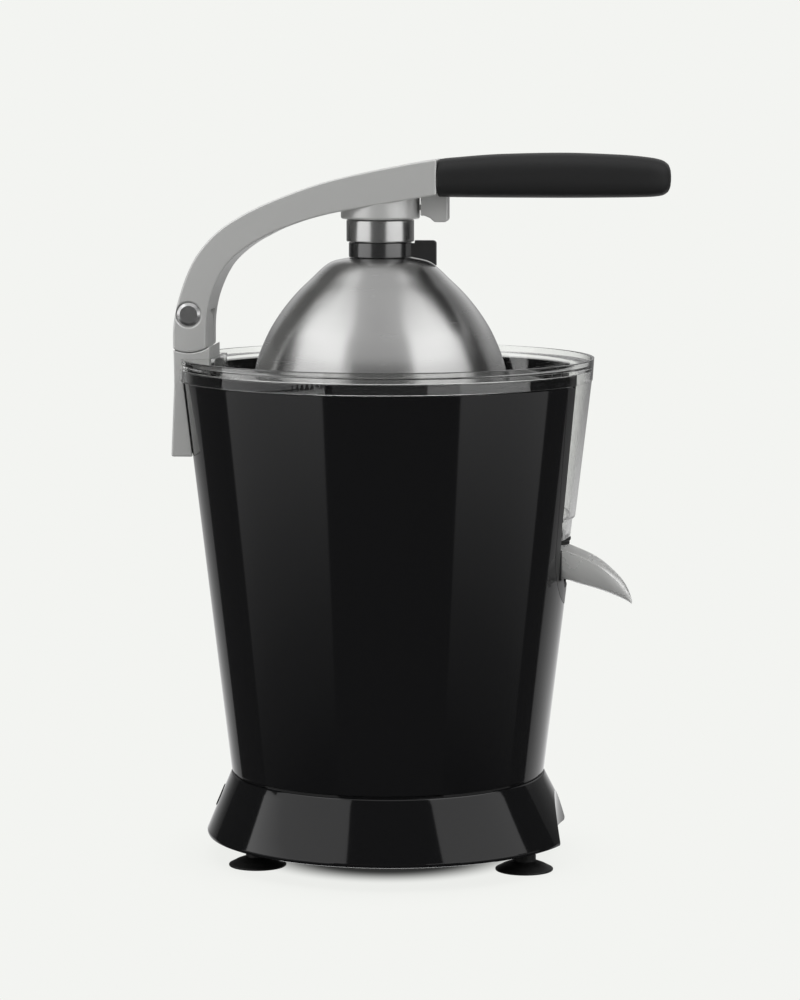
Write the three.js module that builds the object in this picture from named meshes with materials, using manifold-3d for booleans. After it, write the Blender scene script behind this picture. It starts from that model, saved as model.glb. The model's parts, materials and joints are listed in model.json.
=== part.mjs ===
// Lever citrus press. Millimetres, +Z up. +X is the front, where the spout and the grip point.
// The housing's axis stands at x = 0 while the pieces are made, and the whole group is shifted at the
// end so that the origin lies under the middle of the press, on the surface that it stands on.
import * as THREE from "three";
import { mergeVertices } from "three/addons/utils/BufferGeometryUtils.js";
import Module from "manifold-3d";

const wasm = await Module();
wasm.setup();

// Clearances
const seatGap = 0.3;
const runningGap = 0.15;
const slidingGap = 0.4;
const hubGap = 0.3;
const overrun = 4;
const weldDistance = 0.001;

// Roundness
const wideSides = 32;
const midSides = 16;
const narrowSides = 8;
const screwSides = 8;

// Suction feet
const footRadius = 13.8;
const footLip = 1.4;
const footHollow = 1.6;
const footRimHeight = 0.9;
const footCupHeight = 4.6;
const footNeckRadius = 5.6;
const footCollarRadius = 7.4;
const footCollarHeight = 3.2;
const footStemRadius = 3.2;
const footHeadRadius = 5;
const footHeadHeight = 2.6;
const footSpacingShares = [0.7151, 0.3899];
const footCentreX = 4;

// Base skirt and base plate
const floorClearance = 11;
const skirtHeight = 30.4;
const skirtTopRadius = 76;
const skirtFlare = 11.2;
const skirtFlareAlong = 13.5;
const skirtBottomOffset = 1.5;
const skirtBand = 1.8;
const skirtWall = 2.6;
const scallopRadius = 125;
const scallopDepth = 9.8;
const seamGap = 1.2;
const seamDepth = 1;
const spigotHeight = 8;
const plateRecess = 1.5;
const plateThickness = 3;
const ventLength = 34;
const ventWidth = 3;
const ventCount = 5;
const ventPitch = 9;
const baseScrewRadius = 1.6;
const baseScrewHeadRadius = 3.2;
const baseScrewHeadHeight = 1.6;
const baseScrewLength = 9;
const baseBossRadius = 4.2;
const baseScrewInset = 1;

// Cord inlet
const glandRadius = 6.5;
const glandBore = 3.6;
const glandFlangeRadius = 8.4;
const glandFlange = 2;
const glandLength = 9;
const glandHeight = 15;
const glandAngle = 180;

// Housing shell
const housingHeight = 188.7;
const housingTopRadius = 98;
const housingWall = 1.6;
const slotTopHalf = 43.2;
const slotArchRadius = 34;
const slotArchDrop = 73.4;

// Inner tub that carries the bowl
const tubWall = 2.2;
const tubRimInset = 0.5;
const tubRimHeight = 5.3;
const tubDepth = 55.3;
const tubFloor = 2.4;
const collarBore = 8.3;
const collarWall = 3;
const collarHeight = 28;

// Clear juice bowl
const bowlGap = 0.6;
const bowlWall = 2.2;
const rimOverhang = 2.3;
const rimTaper = 0.5;
const rimHeight = 10.4;
const rimSkirtDrop = 0.3;
const rimLedge = 2.2;
const bowlFloorLift = 2.6;
const bowlFloorSlope = 5;
const tubeWall = 2.1;
const tubeHeight = 25;
const tubeShoulder = 2.5;
const tubeShoulderHeight = 13;
const chuteTopHalf = 35.3;
const chuteBottomHalf = 29.8;
const chuteDrop = 64.8;
const chuteDepth = 19.65;
const funnelStep = 1.2;
const funnelDrop = 9.5;
const funnelBottomHalf = 23;
const spigotAhead = 1.9;
const spigotRadius = 7.4;
const spigotBore = 5.6;
const spigotLength = 5.2;
const pocketGap = 0.9;

// Sieve
const sieveWall = 1.4;
const sieveFloorRadius = 56;
const sieveRimClear = 4;
const sieveRimDrop = 5.4;
const sieveLip = 2.4;
const sieveSlots = 16;
const sieveSlotWidth = 1.6;
const sieveSlotInner = 24;
const sieveSlotOuter = 52;

// Reamer
const reamerRadius = 37;
const reamerHeight = 54;
const reamerLift = 5.4;
const reamerFlange = 2.4;
const reamerFlangeOut = 2.5;
const reamerRibs = 8;
const reamerRibShare = 0.075;
const reamerRibPoints = 4;
const reamerSteps = 6;
const reamerTopShare = 0.985;
const reamerCrownShare = 1.7;
const reamerHollow = 15.4;
const reamerHollowHeight = 10;

// Lever bracket at the back of the housing
const leverWidth = 38;
const edgeRound = 1.6;
const bracketFootOut = 4.6;
const bracketFrontIn = 14.2;
const bracketDrop = 34;
const pinRise = 32;
const pinInset = 4.1;
const shoulderRadius = 18.3;
const tongueWidth = 18.6;
const tongueRadius = 7.3;
const tongueGap = 0.35;
const slotStartDeg = 14;
const bushRadius = 5.4;
const bracketScrewRadius = 2.4;
const bracketScrewHeadRadius = 3.4;
const bracketScrewHeadHeight = 1.1;
const bracketScrewLength = 16;
const bracketScrewSpacing = 14;
const bracketScrewLift = 9;

// Pivot pin
const pinRadius = 4;
const pinHeadRadius = 5.5;
const pinFaceRadius = 4.3;
const pinHeadHeight = 2;
const pinChamfer = 1;
const counterboreRadius = 6.1;
const capShaftRadius = 2;
const capShaftLength = 8;

// Lever arm, measured from the pivot pin
const armPastDome = 28.1;
const armRise = 73.5;
const armBack = 7.3;
const armOuterSteps = 17;
const armInnerSteps = 13;
const armFront = 8.3;
const leverOpenDeg = 75;
const tangLength = 70;
const tangRise = 65.3;
const tangWidth = 22;
const tangHeight = 8;
const armOuterShares = [
  [-0.055, -0.007],
  [-0.039, 0.11],
  [-0.018, 0.227],
  [0.02, 0.343],
  [0.073, 0.46],
  [0.149, 0.583],
  [0.272, 0.714],
  [0.392, 0.795],
  [0.552, 0.873],
  [0.798, 0.952],
  [1, 1],
];
const armInnerShares = [
  [1, 0.776],
  [0.84, 0.732],
  [0.572, 0.654],
  [0.41, 0.577],
  [0.257, 0.46],
  [0.177, 0.358],
  [0.117, 0.216],
  [0.085, 0.093],
  [0.07, -0.076],
];

// Grip: along its length, each section's bottom, top and half width as shares
const gripLength = 110.2;
const gripHeight = 21.2;
const gripSwell = 1;
const gripTopRise = 76.7;
const gripSections = 20;
const gripShares = [
  [0, 0.06, 0.85, 0.98],
  [0.08, 0.03, 0.91, 1],
  [0.27, 0.005, 0.985, 1],
  [0.54, 0, 1, 0.98],
  [0.78, 0.01, 0.96, 0.94],
  [0.93, 0.04, 0.88, 0.87],
  [0.98, 0.11, 0.79, 0.76],
  [1, 0.24, 0.66, 0.55],
];
const gripSquareness = 3.4;

// Boss, collar and dome
const domeAxisX = -3.6;
const bossRise = 45.2;
const bossInset = 0.1;
const bossEdge = 1.2;
const bossHeight = 16.5;
const bossBoreStep = 4;
const bossCavityWall = 7.9;
const bossCavityFloor = 8.6;
const bossCavityHeight = 8.4;
const bossSpigotLength = 8;
const collarStep = 2.7;
const collarLength = 10.5;
const ringStep = 1.1;
const collarThickness = 4.2;
const ringHeight = 7.1;
const tabReach = 27;
const tabThickness = 4;
const tabTopRise = 1;
const tabRound = 1.5;
const domeRadius = 62.2;
const domeHeight = 61.4;
const domeWall = 1.2;
const domeShares = [
  [0.243, 1],
  [0.39, 0.947],
  [0.545, 0.823],
  [0.685, 0.668],
  [0.79, 0.525],
  [0.873, 0.384],
  [0.93, 0.243],
  [0.978, 0.11],
  [1, 0],
];
const stemLugHeight = 3;
const stemLugWidth = 8;
const stemEndStep = 0.4;
const stemEndLength = 9;
const nutRim = 3.5;
const nutHeight = 4;

// Release trigger under the arm
const triggerLead = 8.3;
const triggerLength = 13;
const triggerWidth = 15;
const triggerBottomRise = 43.9;
const triggerHookDrop = 2.9;
const triggerSlopeShares = [0.36, 0.55];
const triggerToeShare = 0.56;
const triggerBody = 15;
const triggerRail = 1.6;
const stemGrooveDepth = 2.2;
const triggerTravel = 3.2;
const triggerNoseWidth = 5;
const triggerNoseHeight = 2.6;

// Spout
const spoutWidth = 29.4;
const spoutWall = 1.2;
const spoutReach = 41;
const spoutTopRise = 8.4;
const spoutDepth = 15.8;
const spoutRootBack = 0.1;
const spoutStations = 9;
const spoutShares = [
  [0, 1, 0.057, 1],
  [0.17, 0.994, 0, 1],
  [0.35, 0.842, -0.12, 1],
  [0.5, 0.671, -0.228, 1],
  [0.63, 0.468, -0.329, 1],
  [0.74, 0.234, -0.43, 0.98],
  [0.84, -0.013, -0.538, 0.9],
  [0.91, -0.24, -0.62, 0.74],
  [0.96, -0.47, -0.692, 0.5],
  [0.99, -0.64, -0.742, 0.25],
];
const blockHalfWidth = 24.2;
const blockBack = 6.5;
const blockFront = 7.2;
const blockTop = 8.3;
const blockBottom = 5;
const cradleHalfWidth = 15.9;
const cradleKeelHalf = 10.4;
const cradleDrop = 9.8;
const trunnionRadius = 2.5;
const trunnionLength = 3.2;
const trunnionInset = 10.2;
const trunnionDrop = 88.3;
const earThickness = 3.4;
const earRadius = 6;
const sealOuter = 11.4;
const sealHeight = 2.1;

// Gear train and motor
const pinionTeeth = 8;
const wheelTeeth = 32;
const wheelModuleShare = 0.01891;
const layTeeth = 8;
const outputTeeth = 30;
const outputModuleShare = 0.02867;
const motorPlaceShare = 0.549;
const toothTipShare = 0.085;
const toothRootShare = 0.27;
const addendumShare = 0.9;
const dedendumShare = 1.3;
const gearRoom = 2;
const wheelFace = 8;
const outputFace = 11;
const gearboxWall = 2.6;
const gearboxFloor = 3;
const gearboxDrop = 38;
const hubLowerRadius = 7;
const hubUpperRadius = 9;
const hubUpperLength = 12;
const bearingWall = 2.4;
const axleRadius = 2.5;
const outputEarsDeg = [35, 125, 300];
const layEarsDeg = [178];
const gearEarRadius = 4.6;
const gearScrewRadius = 1.6;
const gearScrewHeadRadius = 3;
const gearScrewHeadHeight = 2;
const gearScrewGrip = 12;
const motorGap = 3.5;
const statorShare = 0.3257;
const statorBackIron = 15.5;
const airGap = 0.5;
const windingShare = 0.8;
const shaftRadius = 3;
const coilShare = 0.114;
const coilInset = 9.5;
const coilWidth = 5;
const motorPostShare = 0.1846;
const motorPostRadius = 3.6;
const motorScrewInset = 4.5;
const motorScrewRadius = 1.6;
const motorScrewHeadRadius = 3;
const motorScrewHeadHeight = 2;
const endBracketThickness = 4;
const endBracketWidth = 15;
const fanInset = 6;
const fanHubRadius = 6;
const fanShare = 0.0977;
const fanBlades = 7;
const fanBladeThickness = 1.4;
const fanDisc = 1.6;
const fanGap = 4;

// Drive spindle and its switch
const spindleRadius = 5.3;
const spindleHexRadius = 5.2;
const spindleFlange = 7.6;
const spindleFlangeHeight = 2;
const spindleTopLength = 28;
const pressTravel = 2.5;
const springRadius = 7.2;
const springWire = 1.2;
const springTurns = 5;
const springLength = 15;
const springCollar = 8.2;
const springCollarHeight = 2;
const clipRadius = 8;
const clipHeight = 1.2;
const spindleTail = 5;
const switchLength = 27.8;
const switchWidth = 10.3;
const switchHeight = 15.9;
const plungerRadius = 2;
const plungerRise = 3.4;
const switchPlate = 2;

// Colours
const glossBlack = new THREE.MeshStandardMaterial({ color: 0x17171a, roughness: 0.18, metalness: 0 });
const blackPlastic = new THREE.MeshStandardMaterial({ color: 0x202022, roughness: 0.5, metalness: 0 });
const softTouch = new THREE.MeshStandardMaterial({ color: 0x232324, roughness: 0.75, metalness: 0 });
const rubber = new THREE.MeshStandardMaterial({ color: 0x161616, roughness: 0.9, metalness: 0 });
const castMetal = new THREE.MeshStandardMaterial({ color: 0xa4a5a4, roughness: 0.45, metalness: 0.9 });
const brushedSteel = new THREE.MeshStandardMaterial({ color: 0xbfbfbd, roughness: 0.3, metalness: 1 });
const darkSteel = new THREE.MeshStandardMaterial({ color: 0x6c6d6f, roughness: 0.4, metalness: 1 });
const clearPlastic = new THREE.MeshStandardMaterial({
  color: 0xe4e6e4,
  roughness: 0.08,
  metalness: 0,
  transparent: true,
  opacity: 0.35,
});
const whitePlastic = new THREE.MeshStandardMaterial({ color: 0xd9d7cf, roughness: 0.5, metalness: 0 });
const brass = new THREE.MeshStandardMaterial({ color: 0xc09a4a, roughness: 0.35, metalness: 1 });
const copper = new THREE.MeshStandardMaterial({ color: 0xb06a3a, roughness: 0.4, metalness: 0.9 });

// Places that follow the housing's top edge
const tubRimRadius = housingTopRadius - tubRimInset;
const rimRadius = housingTopRadius + rimOverhang;
const rimTopRadius = rimRadius - rimTaper;
const bracketFootX = housingTopRadius + bracketFootOut;
const bracketFrontX = housingTopRadius - bracketFrontIn;
const pinX = pinInset - housingTopRadius;
const armReach = domeAxisX - pinX + armPastDome;

// Widths that follow the lever's and the skirt's
const gripWidth = leverWidth + gripSwell;
const bossRadius = leverWidth / 2 - bossInset;
const collarRadius = bossRadius - collarStep;
const ringRadius = collarRadius - ringStep;
const bossSpigotRadius = collarRadius - collarThickness;
const bossBore = bossSpigotRadius - bossBoreStep;
const bossCavityRadius = bossRadius - bossCavityWall;
const stemRadius = bossBore - slidingGap;
const stemLugRadius = bossCavityRadius - slidingGap;
const stemGrooveRadius = stemRadius - stemGrooveDepth;
const stemEndRadius = stemGrooveRadius - stemEndStep;
const nutRadius = stemEndRadius + nutRim;
const skirtBottomRadius = skirtTopRadius + skirtFlare;
const skirtBottomLength = 2 * (skirtTopRadius + skirtFlareAlong);
const baseScrewCircle = skirtTopRadius - baseScrewInset;
const footSpacingX = skirtBottomLength * footSpacingShares[0];
const footSpacingY = 2 * skirtBottomRadius * footSpacingShares[1];

// Heights, from the surface that the feet stand on
const skirtTopZ = floorClearance + skirtHeight;
const housingBottomZ = skirtTopZ + seamGap;
const housingTopZ = housingBottomZ + housingHeight;
const plateBottomZ = floorClearance + plateRecess;
const plateTopZ = plateBottomZ + plateThickness;
const tubRimBottomZ = housingTopZ + seatGap;
const tubRimTopZ = tubRimBottomZ + tubRimHeight;
const tubFloorZ = housingTopZ - tubDepth;
const pinZ = housingTopZ + pinRise;
const rimBottomZ = tubRimBottomZ + rimSkirtDrop;
const rimTopZ = rimBottomZ + rimHeight;
const bowlLedgeZ = tubRimTopZ + seatGap;
const bowlBottomZ = tubFloorZ + bowlFloorLift;
const bowlFloorZ = bowlBottomZ + bowlWall;
const shoulderZ = bowlFloorZ + tubeShoulderHeight;
const sieveFloorZ = shoulderZ + seatGap;
const sieveTopZ = sieveFloorZ + sieveWall;
const reamerBottomZ = sieveTopZ + reamerLift;
const bossBottomZ = pinZ + bossRise;
const collarBottomZ = bossBottomZ - seatGap - collarLength;
const ringBottomZ = collarBottomZ - seatGap - ringHeight;
const domeTopZ = ringBottomZ - seatGap;
const domeRimZ = domeTopZ - domeHeight;
const gearboxTopZ = tubFloorZ - tubFloor - gearboxDrop;
const outputTopZ = gearboxTopZ - gearRoom;
const outputBottomZ = outputTopZ - outputFace;
const wheelTopZ = outputBottomZ - gearRoom;
const wheelBottomZ = wheelTopZ - wheelFace;
const gearboxFloorZ = wheelBottomZ - gearRoom;
const gearboxBottomZ = gearboxFloorZ - gearboxFloor;
const coverTopZ = gearboxTopZ + seatGap + gearboxFloor;
const hubTopZ = outputTopZ + hubUpperLength;
const motorRoom = gearboxBottomZ - plateTopZ;
const motorPostLength = motorRoom * motorPostShare;
const statorHeight = motorRoom * statorShare;
const coilHeight = motorRoom * coilShare;
const fanHeight = motorRoom * fanShare;
const statorTopZ = gearboxBottomZ - motorPostLength;
const statorBottomZ = statorTopZ - statorHeight;
const endBracketTopZ = statorBottomZ - motorPostLength + endBracketThickness;
const endBracketBottomZ = endBracketTopZ - endBracketThickness;
const trunnionZ = housingTopZ - trunnionDrop;
const chuteBottomZ = housingTopZ - chuteDrop;
const funnelBottomZ = chuteBottomZ - funnelDrop;
const slotArchZ = housingTopZ - slotArchDrop;

// Places and sizes that follow the housing's cone at their own height
const trunnionX = bodyRadius(trunnionZ) - trunnionInset;
const spoutRootX = trunnionX - spoutRootBack;
const spigotX = trunnionX + spigotAhead;
const chuteBack = bodyRadius(chuteBottomZ) - chuteDepth;
const gearReach = bodyRadius(gearboxBottomZ) - housingWall;
const wheelModule = gearReach * wheelModuleShare;
const outputModule = gearReach * outputModuleShare;
const motorReach = bodyRadius(statorBottomZ) - housingWall;
const motorX = -motorReach * motorPlaceShare;
const motorRadius = motorReach + motorX - motorGap;
const statorBore = motorRadius - statorBackIron;
const rotorRadius = statorBore - airGap;
const coilOuter = motorRadius - coilInset;
const coilInner = coilOuter - coilWidth;
const motorScrewY = motorRadius - motorScrewInset;
const fanRadius = motorRadius - fanInset;

const radians = THREE.MathUtils.degToRad;

// The housing's outer radius at a height; it runs on above and below the shell
function bodyRadius(z) {
  const share = (z - housingBottomZ) / housingHeight;
  return skirtTopRadius + (housingTopRadius - skirtTopRadius) * share;
}

// Turns a closed surface into a solid whose faces point out
function solidFrom(surface) {
  const loose = surface.index ? surface.toNonIndexed() : surface;
  const bare = new THREE.BufferGeometry();
  bare.setAttribute("position", loose.getAttribute("position"));
  const merged = mergeVertices(bare, weldDistance);
  const corners = merged.index.array;
  const kept = [];
  for (let i = 0; i < corners.length; i += 3) {
    const [a, b, c] = corners.slice(i, i + 3);
    if (a !== b && b !== c && c !== a) kept.push(a, b, c);
  }
  const build = (triangles) =>
    new wasm.Manifold(
      new wasm.Mesh({
        numProp: 3,
        vertProperties: merged.attributes.position.array,
        triVerts: new Uint32Array(triangles),
      }),
    );
  const made = build(kept);
  return made.volume() < 0 ? build(kept.reverse()) : made;
}

const upright = new THREE.Matrix4();
const alongX = new THREE.Matrix4().makeRotationY(Math.PI / 2);
const alongY = new THREE.Matrix4().makeRotationX(-Math.PI / 2);

function placed(x, y, z, turn = upright) {
  return new THREE.Matrix4().makeTranslation(x, y, z).multiply(turn);
}

// A solid of revolution; its profile is a list of radius and height
function revolve(profile, sides = wideSides, place = upright) {
  const points = profile.map(([radius, height]) => new THREE.Vector2(radius, height));
  const onAxis = points[0].x === 0 && points.at(-1).x === 0;
  if (!onAxis) points.push(points[0].clone());
  const lathe = new THREE.LatheGeometry(points, sides);
  lathe.rotateX(Math.PI / 2);
  lathe.applyMatrix4(place);
  return solidFrom(lathe);
}

function rod(radius, bottom, top, sides = midSides, place = upright) {
  const profile = [
    [0, bottom],
    [radius, bottom],
    [radius, top],
    [0, top],
  ];
  return revolve(profile, sides, place);
}

// A narrow post or bore standing at a place in plan
function post(radius, bottom, top, x, y) {
  return rod(radius, bottom, top, narrowSides, placed(x, y, 0));
}

function tube(inner, outer, bottom, top, sides = midSides, place = upright) {
  const profile = [
    [inner, bottom],
    [outer, bottom],
    [outer, top],
    [inner, top],
  ];
  return revolve(profile, sides, place);
}

// The housing's cone between two heights, grown or shrunk by an offset
function cone(offset, bottom, top) {
  const profile = [
    [0, bottom],
    [bodyRadius(bottom) + offset, bottom],
    [bodyRadius(top) + offset, top],
    [0, top],
  ];
  return revolve(profile);
}

function outline(points) {
  return new THREE.Shape(points.map(([x, y]) => new THREE.Vector2(x, y)));
}

function arc(x, y, radius, fromDeg, toDeg, steps = narrowSides) {
  const points = [];
  for (let i = 0; i <= steps; i += 1) {
    const angle = radians(fromDeg + ((toDeg - fromDeg) * i) / steps);
    points.push([x + radius * Math.cos(angle), y + radius * Math.sin(angle)]);
  }
  return points;
}

function smooth(points, steps) {
  const curve = new THREE.SplineCurve(points.map(([x, y]) => new THREE.Vector2(x, y)));
  return curve.getPoints(steps).map((point) => [point.x, point.y]);
}

// A plan outline standing between two heights
function standing(points, bottom, top, place = upright) {
  const plate = new THREE.ExtrudeGeometry(outline(points), { depth: top - bottom, bevelEnabled: false });
  plate.translate(0, 0, bottom);
  plate.applyMatrix4(place);
  return solidFrom(plate);
}

// A side outline in x and z, as wide as given across y, with its long edges rounded
function sideways(points, width, round = 0) {
  const plate = new THREE.ExtrudeGeometry(outline(points), {
    depth: width - 2 * round,
    bevelEnabled: round > 0,
    bevelThickness: round,
    bevelSize: round,
    bevelOffset: -round,
    bevelSegments: 1,
  });
  plate.rotateX(Math.PI / 2);
  plate.translate(0, width / 2 - round, 0);
  return solidFrom(plate);
}

const frontward = new THREE.Matrix4().makeBasis(
  new THREE.Vector3(0, 1, 0),
  new THREE.Vector3(0, 0, 1),
  new THREE.Vector3(1, 0, 0),
);

// A front outline in y and z, running from one x to another
function lengthways(points, from, to) {
  const plate = new THREE.ExtrudeGeometry(outline(points), { depth: to - from, bevelEnabled: false });
  plate.applyMatrix4(frontward);
  plate.translate(from, 0, 0);
  return solidFrom(plate);
}

function block(fromX, toX, fromY, toY, fromZ, toZ) {
  const box = new THREE.BoxGeometry(toX - fromX, toY - fromY, toZ - fromZ);
  box.translate((fromX + toX) / 2, (fromY + toY) / 2, (fromZ + toZ) / 2);
  return solidFrom(box);
}

// Skins a row of rings that have the same number of points; flatten gives a ring's plane
function loft(rings, flatten) {
  const count = rings[0].length;
  const points = rings.flat();
  const triangles = [];
  for (let ring = 0; ring + 1 < rings.length; ring += 1) {
    for (let i = 0; i < count; i += 1) {
      const a = ring * count + i;
      const b = ring * count + ((i + 1) % count);
      triangles.push(a, b, b + count);
      triangles.push(a, b + count, a + count);
    }
  }
  const capRing = (ring, first, reversed) => {
    const contour = ring.map((point) => new THREE.Vector2(...flatten(point)));
    const turn = Math.sign(THREE.ShapeUtils.area(contour));
    for (const face of THREE.ShapeUtils.triangulateShape(contour, [])) {
      const own = Math.sign(THREE.ShapeUtils.area(face.map((i) => contour[i])));
      const [a, b, c] = face.map((i) => i + first);
      const forward = (own === turn) !== reversed;
      triangles.push(...(forward ? [a, b, c] : [c, b, a]));
    }
  };
  capRing(rings[0], 0, true);
  capRing(rings.at(-1), points.length - count, false);
  const surface = new THREE.BufferGeometry().setFromPoints(points);
  surface.setIndex(triangles);
  return solidFrom(surface);
}

// A coil spring of round wire between two heights, its ends cut flat
function coil(radius, wire, turns, bottom, top) {
  const rise = top - bottom - wire;
  const steps = turns * 7;
  const points = [];
  for (let i = 0; i <= steps; i += 1) {
    const angle = (2 * Math.PI * turns * i) / steps;
    const height = bottom + wire / 2 + (rise * i) / steps;
    points.push(new THREE.Vector3(radius * Math.cos(angle), radius * Math.sin(angle), height));
  }
  const path = new THREE.CatmullRomCurve3(points);
  const section = outline(arc(0, 0, wire / 2, 0, 270, 3));
  const swept = new THREE.ExtrudeGeometry(section, { steps, bevelEnabled: false, extrudePath: path });
  return solidFrom(swept);
}

function meshOf(name, solid, material) {
  const { vertProperties, triVerts } = solid.getMesh();
  const geometry = new THREE.BufferGeometry();
  geometry.setAttribute("position", new THREE.BufferAttribute(vertProperties, 3));
  geometry.setIndex(new THREE.BufferAttribute(triVerts, 1));
  geometry.computeVertexNormals();
  const mesh = new THREE.Mesh(geometry, material);
  mesh.name = name;
  return mesh;
}

// The plan outline of the skirt, from its longer foot to the round top, pulled in by an inset
function skirtRing(z, inset) {
  const share = Math.min(Math.max((z - floorClearance - skirtBand) / (skirtHeight - skirtBand), 0), 1);
  const along = skirtBottomLength / 2 + (skirtTopRadius - skirtBottomLength / 2) * share - inset;
  const across = skirtBottomRadius + (skirtTopRadius - skirtBottomRadius) * share - inset;
  const shift = skirtBottomOffset * (1 - share);
  const points = [];
  for (let i = 0; i < wideSides; i += 1) {
    const angle = (2 * Math.PI * i) / wideSides;
    points.push([shift + along * Math.cos(angle), across * Math.sin(angle)]);
  }
  return points;
}

function levelRing(points, z) {
  return points.map(([x, y]) => new THREE.Vector3(x, y, z));
}

const flatPlan = (point) => [point.x, point.y];
const skirtFrontX = skirtBottomOffset + skirtBottomLength / 2;
const scallopX = skirtFrontX - scallopDepth + scallopRadius;

function scallop(inset) {
  const place = placed(scallopX, 0, 0);
  return rod(scallopRadius + inset, -overrun, skirtTopZ, wideSides * 2, place);
}

function skirtBody(inset, bottom, top) {
  const heights = [bottom, floorClearance + skirtBand, top];
  return loft(heights.map((z) => levelRing(skirtRing(z, inset), z)), flatPlan);
}

const glandDirection = radians(glandAngle);
const glandZ = floorClearance + glandHeight;
const [skirtInnerEnd] = skirtRing(glandZ + glandFlangeRadius, skirtWall + seatGap);
const glandInnerX = skirtInnerEnd[0] - skirtFrontX + skirtBottomRadius;
const spigotRadiusBase = skirtTopRadius - housingWall - slidingGap;

function glandPlace() {
  const turn = new THREE.Matrix4().makeRotationZ(glandDirection).multiply(alongX);
  return placed(0, 0, glandZ, turn);
}

const baseScrewPlaces = [45, 135, 225, 315].map((angle) => [
  baseScrewCircle * Math.cos(radians(angle)),
  baseScrewCircle * Math.sin(radians(angle)),
]);

function baseSkirt() {
  const spigotTop = housingBottomZ + spigotHeight;
  const ledgeZ = housingBottomZ - seatGap;
  const outer = skirtBody(0, floorClearance, skirtTopZ).subtract(scallop(0));
  const neck = revolve([
    [0, skirtTopZ - skirtWall],
    [skirtTopRadius - seamDepth, skirtTopZ - skirtWall],
    [skirtTopRadius - seamDepth, ledgeZ],
    [spigotRadiusBase, ledgeZ],
    [spigotRadiusBase, spigotTop],
    [0, spigotTop],
  ]);
  const inside = spigotRadiusBase - skirtWall;
  const shrinkZ = skirtTopZ - skirtWall - skirtWall;
  const hollowHeights = [floorClearance - overrun, floorClearance + skirtBand, shrinkZ];
  const rings = hollowHeights.map((z) => levelRing(skirtRing(z, skirtWall), z));
  const throat = arc(0, 0, inside, 0, 360 - 360 / wideSides, wideSides - 1);
  rings.push(levelRing(throat, skirtTopZ));
  rings.push(levelRing(throat, spigotTop + overrun));
  const hollow = loft(rings, flatPlan).subtract(scallop(skirtWall));
  let skirt = outer.add(neck).subtract(hollow);
  for (const [x, y] of baseScrewPlaces) {
    const boss = post(baseBossRadius, plateTopZ + seatGap, shrinkZ, x, y);
    skirt = skirt.add(boss.intersect(outer));
  }
  for (const [x, y] of baseScrewPlaces) {
    const bore = post(baseScrewRadius + seatGap, 0, plateTopZ + baseScrewLength, x, y);
    skirt = skirt.subtract(bore);
  }
  const holeStart = spigotRadiusBase - overrun;
  const glandHole = rod(glandRadius + seatGap, holeStart, skirtFrontX + overrun, midSides, glandPlace());
  return skirt.subtract(glandHole);
}

const footPlaces = [];
for (const x of [footCentreX + footSpacingX / 2, footCentreX - footSpacingX / 2]) {
  for (const y of [-footSpacingY / 2, footSpacingY / 2]) footPlaces.push([x, y]);
}

function basePlate() {
  const rim = skirtRing(plateTopZ, skirtWall + seatGap);
  let plate = standing(rim, plateBottomZ, plateTopZ).subtract(scallop(skirtWall + seatGap));
  for (const [x, y] of footPlaces) {
    plate = plate.subtract(post(footStemRadius + seatGap, 0, plateTopZ + overrun, x, y));
  }
  for (const [x, y] of baseScrewPlaces) {
    plate = plate.subtract(post(baseScrewRadius + seatGap, 0, plateTopZ + overrun, x, y));
  }
  for (let i = 0; i < ventCount; i += 1) {
    const x = (i - (ventCount - 1) / 2) * ventPitch + motorX;
    const vent = block(x - ventWidth / 2, x + ventWidth / 2, -ventLength / 2, ventLength / 2, 0, skirtTopZ);
    plate = plate.subtract(vent);
  }
  return plate;
}

function suctionFoot(x, y) {
  const collarBottom = plateBottomZ - seatGap - footCollarHeight;
  const headZ = plateTopZ + seatGap;
  const profile = [
    [0, footHollow],
    [footRadius - footLip, 0],
    [footRadius, 0],
    [footRadius, footRimHeight],
    [footNeckRadius, footCupHeight],
    [footNeckRadius, collarBottom],
    [footCollarRadius, collarBottom],
    [footCollarRadius, collarBottom + footCollarHeight],
    [footStemRadius, collarBottom + footCollarHeight],
    [footStemRadius, headZ],
    [footHeadRadius, headZ],
    [footStemRadius, headZ + footHeadHeight],
    [0, headZ + footHeadHeight],
  ];
  return revolve(profile, narrowSides, placed(x, y, 0));
}

function baseScrew(x, y) {
  const headTop = plateBottomZ - seatGap;
  const profile = [
    [0, headTop - baseScrewHeadHeight],
    [baseScrewHeadRadius, headTop - baseScrewHeadHeight],
    [baseScrewHeadRadius, headTop],
    [baseScrewRadius, headTop],
    [baseScrewRadius, plateTopZ + baseScrewLength - overrun],
    [0, plateTopZ + baseScrewLength - overrun],
  ];
  return revolve(profile, screwSides, placed(x, y, 0));
}

function cordGland() {
  const profile = [
    [glandBore, glandInnerX - glandFlange],
    [glandFlangeRadius, glandInnerX - glandFlange],
    [glandFlangeRadius, glandInnerX],
    [glandRadius, glandInnerX],
    [glandRadius, glandInnerX + glandLength],
    [glandBore + glandFlange / 2, glandInnerX + glandLength + glandFlange],
    [glandBore, glandInnerX + glandLength + glandFlange],
  ];
  return revolve(profile, midSides, glandPlace());
}

// The front opening of the housing, grown by an offset; its straight sides run up past the top
function slotOutline(grow) {
  const radius = slotArchRadius + grow;
  const slope = (slotTopHalf - slotArchRadius) / slotArchDrop;
  const top = housingTopZ + overrun;
  const half = slotTopHalf + slope * overrun + grow;
  return [[half, top], [-half, top], ...arc(0, slotArchZ, radius, 180, 360)];
}

function chuteHalf(z) {
  const share = (z - chuteBottomZ) / (rimBottomZ - chuteBottomZ);
  return chuteBottomHalf + (chuteTopHalf - chuteBottomHalf) * share;
}

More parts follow.
